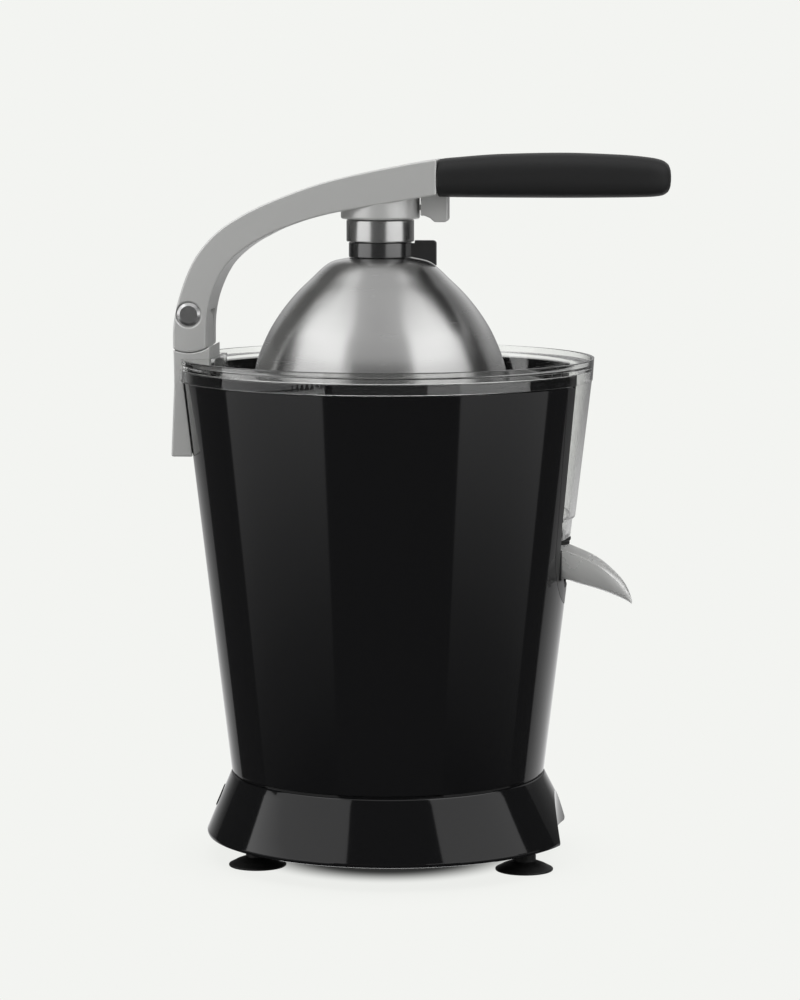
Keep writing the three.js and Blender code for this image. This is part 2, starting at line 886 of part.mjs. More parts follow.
// The front face of the clear chute, grown by an offset, between two heights
function chuteOutline(grow, bottom, top) {
  return [
    [chuteHalf(top) + grow, top],
    [-chuteHalf(top) - grow, top],
    [-chuteHalf(bottom) - grow, bottom],
    [chuteHalf(bottom) + grow, bottom],
  ];
}

const frontEndX = rimRadius + overrun;
const bracketBottomZ = housingTopZ - bracketDrop;
const bracketScrewZ = bracketBottomZ + bracketScrewLift;
const bracketScrewPlaces = [-bracketScrewSpacing / 2, bracketScrewSpacing / 2];

function bracketHoles(radius) {
  const holes = bracketScrewPlaces.map((y) =>
    rod(radius, -bracketFootX - overrun, -chuteBack, narrowSides, placed(0, y, bracketScrewZ, alongX)),
  );
  return holes[0].add(holes[1]);
}

function housingShell() {
  const inner = cone(-housingWall, housingBottomZ - overrun, housingTopZ + overrun);
  return cone(0, housingBottomZ, housingTopZ)
    .subtract(inner)
    .subtract(lengthways(slotOutline(0), 0, frontEndX))
    .subtract(bracketHoles(bracketScrewRadius + seatGap));
}

const tubOffset = housingWall + seatGap;
const bowlOffset = tubOffset + tubWall + bowlGap;
const bowlInside = bowlOffset + bowlWall;
const collarOuter = collarBore + collarWall;
const collarTopZ = tubFloorZ + collarHeight;
const tubBottomZ = tubFloorZ - tubFloor;
const bezelLip = 3;
const bezelDepth = 3.4;
const postRadius = 5;

// Gear positions: the driven spindle at the axis, the lay gear and the motor beside it
const outputPitch = (outputTeeth * outputModule) / 2;
const layPitch = (layTeeth * outputModule) / 2;
const wheelPitch = (wheelTeeth * wheelModule) / 2;
const pinionPitch = (pinionTeeth * wheelModule) / 2;
const layDistance = outputPitch + layPitch;
const motorDistance = wheelPitch + pinionPitch;
const layX = (layDistance ** 2 - motorDistance ** 2 + motorX ** 2) / (2 * motorX);
const layY = -Math.sqrt(layDistance ** 2 - layX ** 2);
const outputCase = outputPitch + outputModule + gearRoom + gearboxWall;
const wheelCase = wheelPitch + wheelModule + gearRoom + gearboxWall;
const fromOutput = (deg) => [
  (outputCase + seatGap) * Math.cos(radians(deg)),
  (outputCase + seatGap) * Math.sin(radians(deg)),
];
const fromLay = (deg) => [
  layX + (wheelCase + seatGap) * Math.cos(radians(deg)),
  layY + (wheelCase + seatGap) * Math.sin(radians(deg)),
];
const earPlaces = [...outputEarsDeg.map(fromOutput), ...layEarsDeg.map(fromLay)];

function innerDeck() {
  const wall = (z) => bodyRadius(z) - tubOffset;
  let tub = revolve([
    [collarBore, tubBottomZ],
    [wall(tubBottomZ), tubBottomZ],
    [wall(tubRimBottomZ), tubRimBottomZ],
    [tubRimRadius, tubRimBottomZ],
    [tubRimRadius, tubRimTopZ],
    [wall(tubRimTopZ) - tubWall, tubRimTopZ],
    [wall(tubFloorZ) - tubWall, tubFloorZ],
    [collarOuter, tubFloorZ],
    [collarOuter, collarTopZ],
    [collarBore, collarTopZ],
  ]);
  for (const [x, y] of earPlaces) {
    tub = tub.add(post(postRadius, coverTopZ + seatGap, tubFloorZ - tubFloor / 2, x, y));
  }
  for (const [x, y] of earPlaces) {
    const top = coverTopZ + gearScrewGrip + overrun;
    tub = tub.subtract(post(gearScrewRadius + seatGap, coverTopZ, top, x, y));
  }
  const lip = bezelLip + seatGap;
  const back = chuteBack - bowlGap - bowlGap;
  const chuteGap = chuteOutline(bowlGap, chuteBottomZ, rimTopZ);
  const notchHalf = leverWidth / 2 + seatGap;
  const notchX = -bracketFrontX + seatGap;
  const belowRim = block(0, frontEndX, -frontEndX, frontEndX, 0, housingTopZ);
  return tub
    .subtract(lengthways(slotOutline(lip), back, frontEndX).intersect(belowRim))
    .subtract(lengthways(chuteGap, back, frontEndX))
    .subtract(block(-frontEndX, notchX, -notchHalf, notchHalf, housingTopZ, rimTopZ))
    .subtract(bracketHoles(bracketScrewHeadRadius + slidingGap));
}

function juiceBowl() {
  const outside = (z) => bodyRadius(z) - bowlOffset;
  const inside = (z) => bodyRadius(z) - bowlInside;
  const centreFloor = bowlFloorZ + bowlFloorSlope;
  const tubeInner = collarOuter + bowlGap;
  const tubeOuter = tubeInner + tubeWall;
  const innerShoulder = tubeOuter + tubeShoulder;
  const tubeTop = bowlFloorZ + tubeHeight;
  const ledgeTop = bowlLedgeZ + rimLedge;
  const shell = revolve([
    [tubeInner, centreFloor - bowlWall],
    [outside(bowlBottomZ), bowlBottomZ],
    [outside(bowlLedgeZ), bowlLedgeZ],
    [rimRadius - bowlWall, bowlLedgeZ],
    [rimRadius - bowlWall, rimBottomZ],
    [rimRadius, rimBottomZ],
    [rimTopRadius, rimTopZ],
    [rimTopRadius - bowlWall, rimTopZ],
    [inside(ledgeTop), ledgeTop],
    [inside(bowlFloorZ), bowlFloorZ],
    [innerShoulder, centreFloor],
    [innerShoulder, shoulderZ],
    [tubeOuter, shoulderZ],
    [tubeOuter, tubeTop],
    [tubeInner, tubeTop],
  ]);
  const cavity = revolve([
    [innerShoulder, centreFloor],
    [inside(bowlFloorZ), bowlFloorZ],
    [inside(ledgeTop), ledgeTop],
    [rimTopRadius - bowlWall, rimTopZ],
    [rimTopRadius - bowlWall, rimTopZ + overrun],
    [innerShoulder, rimTopZ + overrun],
  ]);
  const chuteTop = bowlLedgeZ + rimLedge / 2;
  const chute = lengthways(chuteOutline(0, chuteBottomZ, chuteTop), chuteBack, frontEndX).intersect(
    cone(0, chuteBottomZ, chuteTop),
  );
  const funnel = (grow, bottom) => [
    [chuteBottomHalf - funnelStep + grow, chuteBottomZ + bowlWall],
    [-chuteBottomHalf + funnelStep - grow, chuteBottomZ + bowlWall],
    [-funnelBottomHalf - grow, bottom],
    [funnelBottomHalf + grow, bottom],
  ];
  const funnelBlock = lengthways(funnel(0, funnelBottomZ), chuteBack, frontEndX).intersect(
    cone(-funnelStep, funnelBottomZ, chuteBottomZ + bowlWall),
  );
  const seal = placed(spigotX, 0, 0);
  const spigotBottomZ = funnelBottomZ - spigotLength;
  const spigot = rod(spigotRadius, spigotBottomZ, funnelBottomZ + bowlWall / 2, midSides, seal);
  const hollowX = chuteBack + bowlWall;
  const hollowZ = chuteBottomZ + bowlWall / 2;
  const aboveChute = tube(inside(chuteTop), frontEndX, bowlLedgeZ - seatGap, chuteTop + overrun, wideSides);
  const chuteHollow = lengthways(chuteOutline(-bowlWall, hollowZ, bowlLedgeZ), hollowX, frontEndX)
    .intersect(cone(-bowlWall, hollowZ, bowlLedgeZ - seatGap))
    .subtract(aboveChute);
  const funnelHollow = lengthways(funnel(-bowlWall, funnelBottomZ + bowlWall), hollowX, frontEndX).intersect(
    cone(-funnelStep - bowlWall, funnelBottomZ + bowlWall, chuteBottomZ + bowlWall),
  );
  const pocketX = -bracketFrontX + pocketGap;
  const pocketHalf = leverWidth / 2 + pocketGap;
  const pocketFloor = housingTopZ - seatGap;
  const wallHalf = pocketHalf + bowlWall;
  const pocketBottom = pocketFloor - bowlWall;
  const rimForm = rod(rimTopRadius, rimBottomZ, rimTopZ, wideSides);
  const bowlForm = cone(-bowlOffset, pocketBottom, rimTopZ).add(rimForm);
  const pocketWalls = block(-frontEndX, pocketX + bowlWall, -wallHalf, wallHalf, pocketBottom, rimTopZ);
  const deckBand = tube(outside(pocketBottom), rimRadius - bowlWall, pocketBottom, bowlLedgeZ, wideSides);
  const pocketOuter = pocketWalls.intersect(bowlForm).subtract(deckBand);
  const pocket = block(-frontEndX, pocketX, -pocketHalf, pocketHalf, pocketFloor, rimTopZ + overrun);
  return shell
    .add(pocketOuter)
    .add(chute.subtract(cavity))
    .add(funnelBlock)
    .add(spigot)
    .subtract(chuteHollow)
    .subtract(funnelHollow)
    .subtract(rod(spigotBore, 0, funnelBottomZ + bowlWall * 2, midSides, seal))
    .subtract(pocket);
}

function outletSeal() {
  const bottom = funnelBottomZ - seatGap - sealHeight;
  const place = placed(spigotX, 0, 0);
  return tube(spigotRadius + runningGap, sealOuter, bottom, bottom + sealHeight, midSides, place);
}

const sieveHub = collarOuter + bowlGap + tubeWall + slidingGap;
const sieveRimZ = rimTopZ - rimHeight - sieveRimDrop;

function sieve() {
  const top = bodyRadius(sieveRimZ) - bowlInside - sieveRimClear;
  const lip = sieveLip;
  let bowl = revolve([
    [sieveHub, sieveFloorZ],
    [sieveFloorRadius, sieveFloorZ],
    [top - lip, sieveRimZ - sieveWall],
    [top, sieveRimZ - sieveWall],
    [top, sieveRimZ],
    [top - lip - sieveWall, sieveRimZ],
    [sieveFloorRadius - sieveWall, sieveTopZ],
    [sieveHub, sieveTopZ],
  ]);
  for (let i = 0; i < sieveSlots; i += 1) {
    const angle = ((i + 0.5) * 2 * Math.PI) / sieveSlots;
    const turn = new THREE.Matrix4().makeRotationZ(angle);
    const slot = [
      [sieveSlotInner, -sieveSlotWidth / 2],
      [sieveSlotOuter, -sieveSlotWidth / 2],
      [sieveSlotOuter, sieveSlotWidth / 2],
      [sieveSlotInner, sieveSlotWidth / 2],
    ];
    bowl = bowl.subtract(standing(slot, sieveFloorZ - overrun, sieveTopZ + overrun, turn));
  }
  return bowl;
}

const flangeTopZ = reamerBottomZ + reamerHollowHeight - seatGap;
const spindleTopZ = collarTopZ + spindleTopLength;

function hexagon(radius) {
  return arc(0, 0, radius, 0, 300, 5);
}

function reamer() {
  const rings = [];
  const count = reamerRibs * reamerRibPoints;
  for (let i = 0; i <= reamerSteps; i += 1) {
    const share = i / reamerSteps;
    const radius = reamerRadius * Math.sqrt(1 - (share * reamerTopShare) ** reamerCrownShare);
    const z = reamerBottomZ + reamerFlange + (reamerHeight - reamerFlange) * share;
    const ring = [];
    for (let j = 0; j < count; j += 1) {
      const angle = (2 * Math.PI * j) / count;
      const rib = 1 + reamerRibShare * Math.cos(angle * reamerRibs);
      ring.push(new THREE.Vector3(radius * rib * Math.cos(angle), radius * rib * Math.sin(angle), z));
    }
    rings.push(ring);
  }
  const socketTop = spindleTopZ + slidingGap;
  const flangeTop = reamerBottomZ + reamerFlange + seatGap;
  const flange = rod(reamerRadius + reamerFlangeOut, reamerBottomZ, flangeTop, wideSides);
  return loft(rings, flatPlan)
    .add(flange)
    .subtract(rod(reamerHollow, 0, reamerBottomZ + reamerHollowHeight))
    .subtract(standing(hexagon(spindleHexRadius + slidingGap), 0, socketTop));
}

// The bracket's and the arm's shared frame: x and z measured from the pivot pin
const fromPin = ([x, z]) => [pinX + x, pinZ + z];

function leverBracket() {
  const half = leverWidth / 2;
  const shoulderX = -bracketFrontX - pinX;
  const shoulderDeg = THREE.MathUtils.radToDeg(Math.asin(shoulderX / shoulderRadius));
  const backDeg = THREE.MathUtils.radToDeg(Math.asin(armBack / shoulderRadius));
  const blockZ = tubRimBottomZ;
  const shoulder = sideways(
    [
      [-bracketFootX, blockZ - tubRimHeight],
      [-bracketFrontX, blockZ - tubRimHeight],
      ...arc(pinX, pinZ, shoulderRadius, shoulderDeg - 90, -backDeg - 90, narrowSides / 2),
      [-bracketFootX + edgeRound, blockZ + tubRimHeight],
    ],
    leverWidth,
  ).subtract(cone(seatGap, blockZ - tubRimHeight - overrun, housingTopZ).add(rod(rimRadius, 0, housingTopZ)));
  const foot = sideways(
    [
      [-bracketFootX - edgeRound, bracketBottomZ],
      [-chuteBack, bracketBottomZ],
      [-chuteBack, blockZ],
      [-bracketFootX, blockZ],
    ],
    leverWidth,
  ).subtract(cone(seatGap, 0, rimTopZ));
  const cap = block(-bracketFootX, -bracketFrontX, -half, half, housingTopZ + seatGap, blockZ + seatGap);
  const tongue = sideways(
    [
      ...arc(pinX, pinZ, tongueRadius, 0, 180),
      [pinX - armBack, pinZ - shoulderRadius - overrun],
      [pinX + armFront, pinZ - shoulderRadius - edgeRound],
      [pinX + armFront, pinZ - edgeRound],
      [pinX + tongueRadius, pinZ],
    ],
    tongueWidth,
    edgeRound / 4,
  );
  const bushHole = rod(bushRadius + runningGap, -half, half, midSides, placed(pinX, 0, pinZ, alongY));
  const tappedDepth = block(-bracketFootX + edgeRound * 2, 0, -half, half, 0, housingTopZ);
  return shoulder
    .add(cap)
    .add(foot)
    .add(tongue)
    .subtract(bushHole)
    .subtract(bracketHoles(bracketScrewRadius).intersect(tappedDepth));
}

function bracketScrew(y) {
  const wallRadius = bodyRadius(bracketScrewZ - bracketScrewHeadRadius) - tubOffset;
  const wallX = Math.sqrt(wallRadius ** 2 - (Math.abs(y) + bracketScrewHeadRadius) ** 2);
  const tip = Math.min(wallX + bracketScrewLength, bracketFootX - edgeRound * 2 - seatGap);
  const profile = [
    [0, -tip],
    [bracketScrewRadius - seatGap, -tip],
    [bracketScrewRadius - seatGap, -wallX],
    [bracketScrewHeadRadius, -wallX],
    [bracketScrewHeadRadius, -wallX + bracketScrewHeadHeight],
    [0, -wallX + bracketScrewHeadHeight],
  ];
  return revolve(profile, screwSides, placed(0, y, bracketScrewZ, alongX));
}

function pivotBush() {
  const half = tongueWidth / 2;
  return tube(pinRadius + runningGap, bushRadius, -half, half, midSides, placed(pinX, 0, pinZ, alongY));
}

// A pin head: a flat face with a chamfered ring, standing in the arm's counterbore
function headProfile(shaft, bottom, top) {
  return [
    [0, bottom],
    [shaft, bottom],
    [shaft, top - pinHeadHeight],
    [pinHeadRadius, top - pinHeadHeight],
    [pinHeadRadius, top - pinChamfer],
    [pinFaceRadius, top],
    [0, top],
  ];
}

const nearward = new THREE.Matrix4().makeRotationX(Math.PI / 2);
const headTop = leverWidth / 2 - seatGap;
const boreEnd = leverWidth / 2 - pinHeadHeight - seatGap * 2;

function pivotPin() {
  const place = placed(pinX, 0, pinZ, nearward);
  const holeEnd = -boreEnd + capShaftLength + seatGap * 2;
  const screwHole = rod(capShaftRadius + seatGap, -headTop, holeEnd, narrowSides, place);
  return revolve(headProfile(pinRadius, -boreEnd + seatGap, headTop), midSides, place).subtract(screwHole);
}

function pivotCap() {
  const profile = headProfile(capShaftRadius, boreEnd - capShaftLength, headTop);
  return revolve(profile, midSides, placed(pinX, 0, pinZ, alongY));
}

const domePlace = placed(domeAxisX, 0, 0);
const armPoint = ([x, z]) => fromPin([x * armReach, z * armRise]);
const gripStartX = pinX + armReach + seatGap;
const tangZ = pinZ + tangRise;
const cavityZ = bossBottomZ - bossSpigotLength + bossCavityFloor;

function leverArm() {
  const outer = smooth(armOuterShares.map(armPoint), armOuterSteps);
  const inner = smooth(armInnerShares.map(armPoint), armInnerSteps);
  const cheekRadius = shoulderRadius - seatGap;
  const frontDeg = THREE.MathUtils.radToDeg(Math.asin(armFront / cheekRadius)) - 90;
  const backDeg = -90 - THREE.MathUtils.radToDeg(Math.asin(armBack / cheekRadius));
  const side = [...outer, ...inner, ...arc(pinX, pinZ, cheekRadius, frontDeg, backDeg, narrowSides / 2)];
  const body = sideways(side.reverse(), leverWidth, edgeRound);
  const boss = revolve(
    [
      [0, bossBottomZ],
      [bossRadius - bossEdge, bossBottomZ],
      [bossRadius, bossBottomZ + bossEdge],
      [bossRadius, bossBottomZ + bossHeight],
      [0, bossBottomZ + bossHeight],
    ],
    wideSides,
    domePlace,
  );
  const spigotTop = bossBottomZ + bossEdge;
  const spigot = rod(bossSpigotRadius, bossBottomZ - bossSpigotLength, spigotTop, midSides, domePlace);
  const tang = block(
    gripStartX - overrun,
    gripStartX + tangLength,
    -tangWidth / 2,
    tangWidth / 2,
    tangZ - tangHeight / 2,
    tangZ + tangHeight / 2,
  );
  const room = tongueRadius + tongueGap;
  const backDir = radians(180 - leverOpenDeg);
  const away = leverWidth;
  const slot = sideways(
    [
      ...arc(pinX, pinZ, room, slotStartDeg, 180 - leverOpenDeg, narrowSides / 2),
      fromPin([
        room * Math.cos(backDir) - away * Math.sin(backDir),
        room * Math.sin(backDir) + away * Math.cos(backDir),
      ]),
      fromPin([-away, -away]),
      fromPin([away, -away]),
      fromPin([away, room * Math.sin(radians(slotStartDeg))]),
    ],
    tongueWidth + tongueGap * 2,
  );
  const bores = rod(pinRadius + runningGap, -leverWidth, leverWidth, midSides, placed(pinX, 0, pinZ, alongY));
  const counterAt = leverWidth / 2 - pinHeadHeight - seatGap * 2;
  const counter = rod(counterboreRadius, counterAt, leverWidth, midSides, placed(pinX, 0, pinZ, alongY));
  const counterFar = rod(counterboreRadius, counterAt, leverWidth, midSides, placed(pinX, 0, pinZ, nearward));
  const bore = rod(bossBore, 0, cavityZ + seatGap, midSides, domePlace);
  const cavity = rod(bossCavityRadius, cavityZ, cavityZ + bossCavityHeight, midSides, domePlace);
  const lugHalf = stemLugWidth / 2 + slidingGap;
  const lugFrom = domeAxisX - bossCavityRadius;
  const lugTo = domeAxisX + bossCavityRadius;
  const lugRoom = block(lugFrom, lugTo, -lugHalf, lugHalf, 0, cavityZ + seatGap).intersect(
    rod(bossCavityRadius, 0, cavityZ + seatGap, midSides, domePlace),
  );
  return body
    .add(boss)
    .add(spigot)
    .add(tang)
    .subtract(slot)
    .subtract(bores)
    .subtract(counter)
    .subtract(counterFar)
    .subtract(bore)
    .subtract(cavity)
    .subtract(lugRoom)
    .subtract(triggerRoom());
}

const triggerX = pinX + armReach - triggerLead;
const triggerBottomZ = pinZ + triggerBottomRise;
const triggerTopZ = triggerBottomZ + triggerBody;
const grooveZ = cavityZ + seatGap + stemLugHeight;
const noseZ = grooveZ + seatGap;
const noseTipX = domeAxisX + stemGrooveRadius + slidingGap * 2;

// The trigger slides along the arm: its finger piece hangs below, its body runs in a slot of the arm
function triggerForm(grow) {
  const half = triggerWidth / 2 + grow;
  const from = triggerX - grow;
  const to = triggerX + triggerLength + (grow > 0 ? triggerTravel + grow : 0);
  const railZ = triggerTopZ - triggerRail;
  const rail = block(from, to, -half - triggerRail, half + triggerRail, railZ - grow, triggerTopZ + grow);
  const noseHalf = triggerNoseWidth / 2 + grow;
  const reach = noseTipX - (grow > 0 ? overrun / 2 : 0);
  const noseTop = noseZ + triggerNoseHeight + grow;
  const nose = block(reach, from + overrun, -noseHalf, noseHalf, noseZ - grow, noseTop);
  return [rail, nose];
}

function triggerRoom() {
  const half = triggerWidth / 2 + slidingGap;
  const to = triggerX + triggerLength + triggerTravel + slidingGap;
  const [rail, nose] = triggerForm(slidingGap);
  return block(triggerX - slidingGap, to, -half, half, triggerBottomZ, triggerTopZ).add(rail).add(nose);
}

function releaseTrigger() {
  const half = triggerWidth / 2;
  const [slopeShare, dropShare] = triggerSlopeShares;
  const hook = [
    [triggerX, triggerTopZ],
    [triggerX, triggerBottomZ + triggerHookDrop],
    [triggerX + edgeRound, triggerBottomZ + triggerHookDrop + seatGap],
    [triggerX + triggerLength * slopeShare, triggerBottomZ + triggerHookDrop * dropShare],
    [triggerX + triggerLength * triggerToeShare, triggerBottomZ],
    [triggerX + triggerLength - edgeRound, triggerBottomZ],
    [triggerX + triggerLength, triggerBottomZ + edgeRound],
    [triggerX + triggerLength, triggerTopZ],
  ];
  const [rail, nose] = triggerForm(0);
  return sideways(hook, half * 2).add(rail).add(nose);
}

// A grip section: a rounded rectangle at x between two heights
function gripRing(x, bottom, top, half) {
  const ring = [];
  for (let i = 0; i < gripSections; i += 1) {
    const angle = (2 * Math.PI * (i + 0.5)) / gripSections;
    const c = Math.cos(angle);
    const s = Math.sin(angle);
    const y = half * Math.sign(c) * Math.abs(c) ** (2 / gripSquareness);
    const z = (top + bottom) / 2 + ((top - bottom) / 2) * Math.sign(s) * Math.abs(s) ** (2 / gripSquareness);
    ring.push(new THREE.Vector3(x, y, z));
  }
  return ring;
}

const flatSide = (point) => [point.y, point.z];
const gripTopZ = pinZ + gripTopRise;
const gripBottomZ = gripTopZ - gripHeight;

function grip() {
  const column = (index) => {
    const points = gripShares.map((row) => new THREE.Vector2(row[0], row[index]));
    return new THREE.SplineCurve(points);
  };
  const curves = [column(1), column(2), column(3)];
  const rings = [];
  const at = (curve, share) => {
    let low = 0;
    let high = 1;
    for (let i = 0; i < 30; i += 1) {
      const middle = (low + high) / 2;
      if (curve.getPoint(middle).x < share) low = middle;
      else high = middle;
    }
    return curve.getPoint((low + high) / 2).y;
  };
  for (const [share] of gripShares) {
    const [bottom, top, wide] = curves.map((curve) => at(curve, share));
    const ring = gripRing(
      gripStartX + gripLength * share,
      gripBottomZ + gripHeight * bottom,
      gripBottomZ + gripHeight * top,
      (gripWidth / 2) * wide,
    );
    rings.push(ring);
  }
  const room = block(
    gripStartX - overrun,
    gripStartX + tangLength + seatGap,
    -tangWidth / 2 - seatGap,
    tangWidth / 2 + seatGap,
    tangZ - tangHeight / 2 - seatGap,
    tangZ + tangHeight / 2 + seatGap,
  );
  return loft(rings, flatSide).subtract(room).subtract(triggerRoom());
}

function collar() {
  const top = collarBottomZ + collarLength;
  return tube(bossSpigotRadius + seatGap, collarRadius, collarBottomZ, top, wideSides, domePlace);
}

function domeRing() {
  const tab = sideways(
    [
      [domeAxisX, ringBottomZ],
      [domeAxisX + ringRadius, ringBottomZ],
      [domeAxisX + tabReach, ringBottomZ - overrun],
      [domeAxisX + tabReach, ringBottomZ + ringHeight + tabTopRise - tabRound],
      [domeAxisX + tabReach - tabRound, ringBottomZ + ringHeight + tabTopRise],
      [domeAxisX + collarRadius + slidingGap, ringBottomZ + ringHeight + tabTopRise],
      [domeAxisX + collarRadius + slidingGap, ringBottomZ + ringHeight],
      [domeAxisX, ringBottomZ + ringHeight],
    ],
    tabThickness,
  );
  return rod(ringRadius, ringBottomZ, ringBottomZ + ringHeight, wideSides, domePlace)
    .add(tab)
    .subtract(domeForm(seatGap))
    .subtract(rod(stemRadius + seatGap, 0, pinZ + armRise, midSides, domePlace));
}

// The dome's outer form, grown by an offset and flat on top
function domeForm(grow) {
  const curve = domeShares.map(([radius, height]) => [radius * domeRadius, height * domeHeight]);
  const topZ = domeTopZ + grow;
  const shoulders = curve.slice(1).map(([radius, height]) => {
    const steepness = Math.hypot(radius / domeRadius ** 2, height / domeHeight ** 2);
    const out = (radius / domeRadius ** 2 / steepness) * grow;
    const up = (height / domeHeight ** 2 / steepness) * grow;
    return [radius + out, Math.min(domeRimZ + height + up, topZ)];
  });
  const bottom = domeRimZ - Math.abs(grow);
  const flat = [curve[0][0] + grow / 2, topZ];
  const foot = [domeRadius + grow, bottom];
  return revolve([[0, topZ], flat, ...shoulders, foot, [0, bottom]], wideSides, domePlace);
}

function dome() {
  return domeForm(0)
    .subtract(domeForm(-domeWall))
    .subtract(rod(stemEndRadius + seatGap, domeRimZ, pinZ + armRise, midSides, domePlace));
}

function domeStem() {
  const lugZ = cavityZ + seatGap;
  const lugTop = lugZ + stemLugHeight;
  const headBottom = noseZ + triggerNoseHeight + seatGap;
  const shaft = revolve(
    [
      [0, domeTopZ - stemEndLength],
      [stemEndRadius, domeTopZ - stemEndLength],
      [stemEndRadius, domeTopZ + seatGap],
      [stemRadius, domeTopZ + seatGap],
      [stemRadius, lugTop],
      [stemGrooveRadius, lugTop],
      [stemGrooveRadius, headBottom],
      [stemRadius, headBottom],
      [stemRadius, headBottom + seatGap * 4],
      [0, headBottom + seatGap * 4],
    ],
    midSides,
    domePlace,
  );
  const half = stemLugWidth / 2;
  const bar = block(domeAxisX - half, domeAxisX + half, -stemLugRadius, stemLugRadius, lugZ, lugTop);
  const lugs = bar.intersect(rod(stemLugRadius, lugZ, lugTop, midSides, domePlace));
  return shaft.add(lugs);
}

function stemNut() {
  const top = domeTopZ - domeWall - seatGap * 2;
  const nut = standing(hexagon(nutRadius), top - nutHeight, top, domePlace);
  return nut.subtract(rod(stemEndRadius + seatGap, 0, domeTopZ, midSides, domePlace));
}

// Spout sections: half ellipses that hang from the rim down to the keel
const spoutTopZ = trunnionZ + spoutTopRise;
const spoutBaseZ = spoutTopZ - spoutDepth;

function spoutSolid(shrink) {
  const rings = [];
  for (const [along, top, keel, wide] of spoutShares) {
    const half = Math.max((spoutWidth / 2) * wide - shrink, spoutWall / 4);
    const rimZ = spoutBaseZ + spoutDepth * top;
    const keelZ = Math.min(spoutBaseZ + spoutDepth * keel + shrink, rimZ - spoutWall / 4);
    const x = spoutRootX + spoutReach * along;
    const lift = shrink > 0 ? overrun : 0;
    const ring = [];
    for (let i = 0; i < spoutStations; i += 1) {
      const angle = Math.PI + (Math.PI * i) / (spoutStations - 1);
      ring.push(new THREE.Vector3(x, half * Math.cos(angle), rimZ + (rimZ - keelZ) * Math.sin(angle)));
    }
    ring.push(new THREE.Vector3(x, half, rimZ + lift + weldDistance * 2));
    ring.push(new THREE.Vector3(x, -half, rimZ + lift + weldDistance * 2));
    rings.push(ring);
  }
  if (shrink > 0) {
    const moved = (ring, x, z) => ring.map((point) => new THREE.Vector3(point.x + x, point.y, point.z + z));
    const first = moved(rings[0], -overrun, 0);
    const last = moved(rings.at(-1), overrun, -spoutWall);
    return loft([first, ...rings, last], flatSide);
  }
  return loft(rings, flatSide);
}

function spout() {
  return spoutSolid(0).subtract(spoutSolid(spoutWall));
}

const spoutAxisX = trunnionX;
const spoutAxis = placed(spoutAxisX, 0, trunnionZ, alongY);

function spoutBlock() {
  const front = spoutAxisX + blockFront;
  const back = spoutAxisX - blockBack;
  const top = trunnionZ + blockTop;
  const bottom = trunnionZ - blockBottom;
  const cradle = [
    [cradleHalfWidth, bottom + overrun],
    [-cradleHalfWidth, bottom + overrun],
    [-cradleHalfWidth, bottom],
    [-cradleKeelHalf, trunnionZ - cradleDrop],
    [cradleKeelHalf, trunnionZ - cradleDrop],
    [cradleHalfWidth, bottom],
  ];
  const bar = block(back, front, -blockHalfWidth, blockHalfWidth, bottom, top);
  const body = bar.add(lengthways(cradle, back, front));
  const basinHalf = spoutWidth / 2 - spoutWall;
  const basinX = back + spoutWall * 2;
  const basinZ = spoutBaseZ + spoutWall * 2;
  const basin = block(basinX, spoutRootX + seatGap, -basinHalf, basinHalf, basinZ, top + overrun);
  const trough = spoutSolid(0);
  const grown = trough
    .add(trough.translate([0, seatGap, 0]))
    .add(trough.translate([0, -seatGap, 0]))
    .add(trough.translate([-seatGap, 0, -seatGap]))
    .add(trough.translate([0, 0, seatGap]));
  const aboveZ = spoutBaseZ + spoutDepth / 2;
  const above = block(spoutRootX, front + overrun, -basinHalf, basinHalf, aboveZ, top + overrun);
  const trunnionEnd = blockHalfWidth + trunnionLength;
  const trunnions = rod(trunnionRadius, -trunnionEnd, trunnionEnd, midSides, spoutAxis);
  const carved = body.subtract(basin).subtract(grown).subtract(above);
  const middle = block(back - overrun, front + overrun, -basinHalf, basinHalf, 0, top + overrun);
  return carved.add(trunnions.subtract(middle));
}

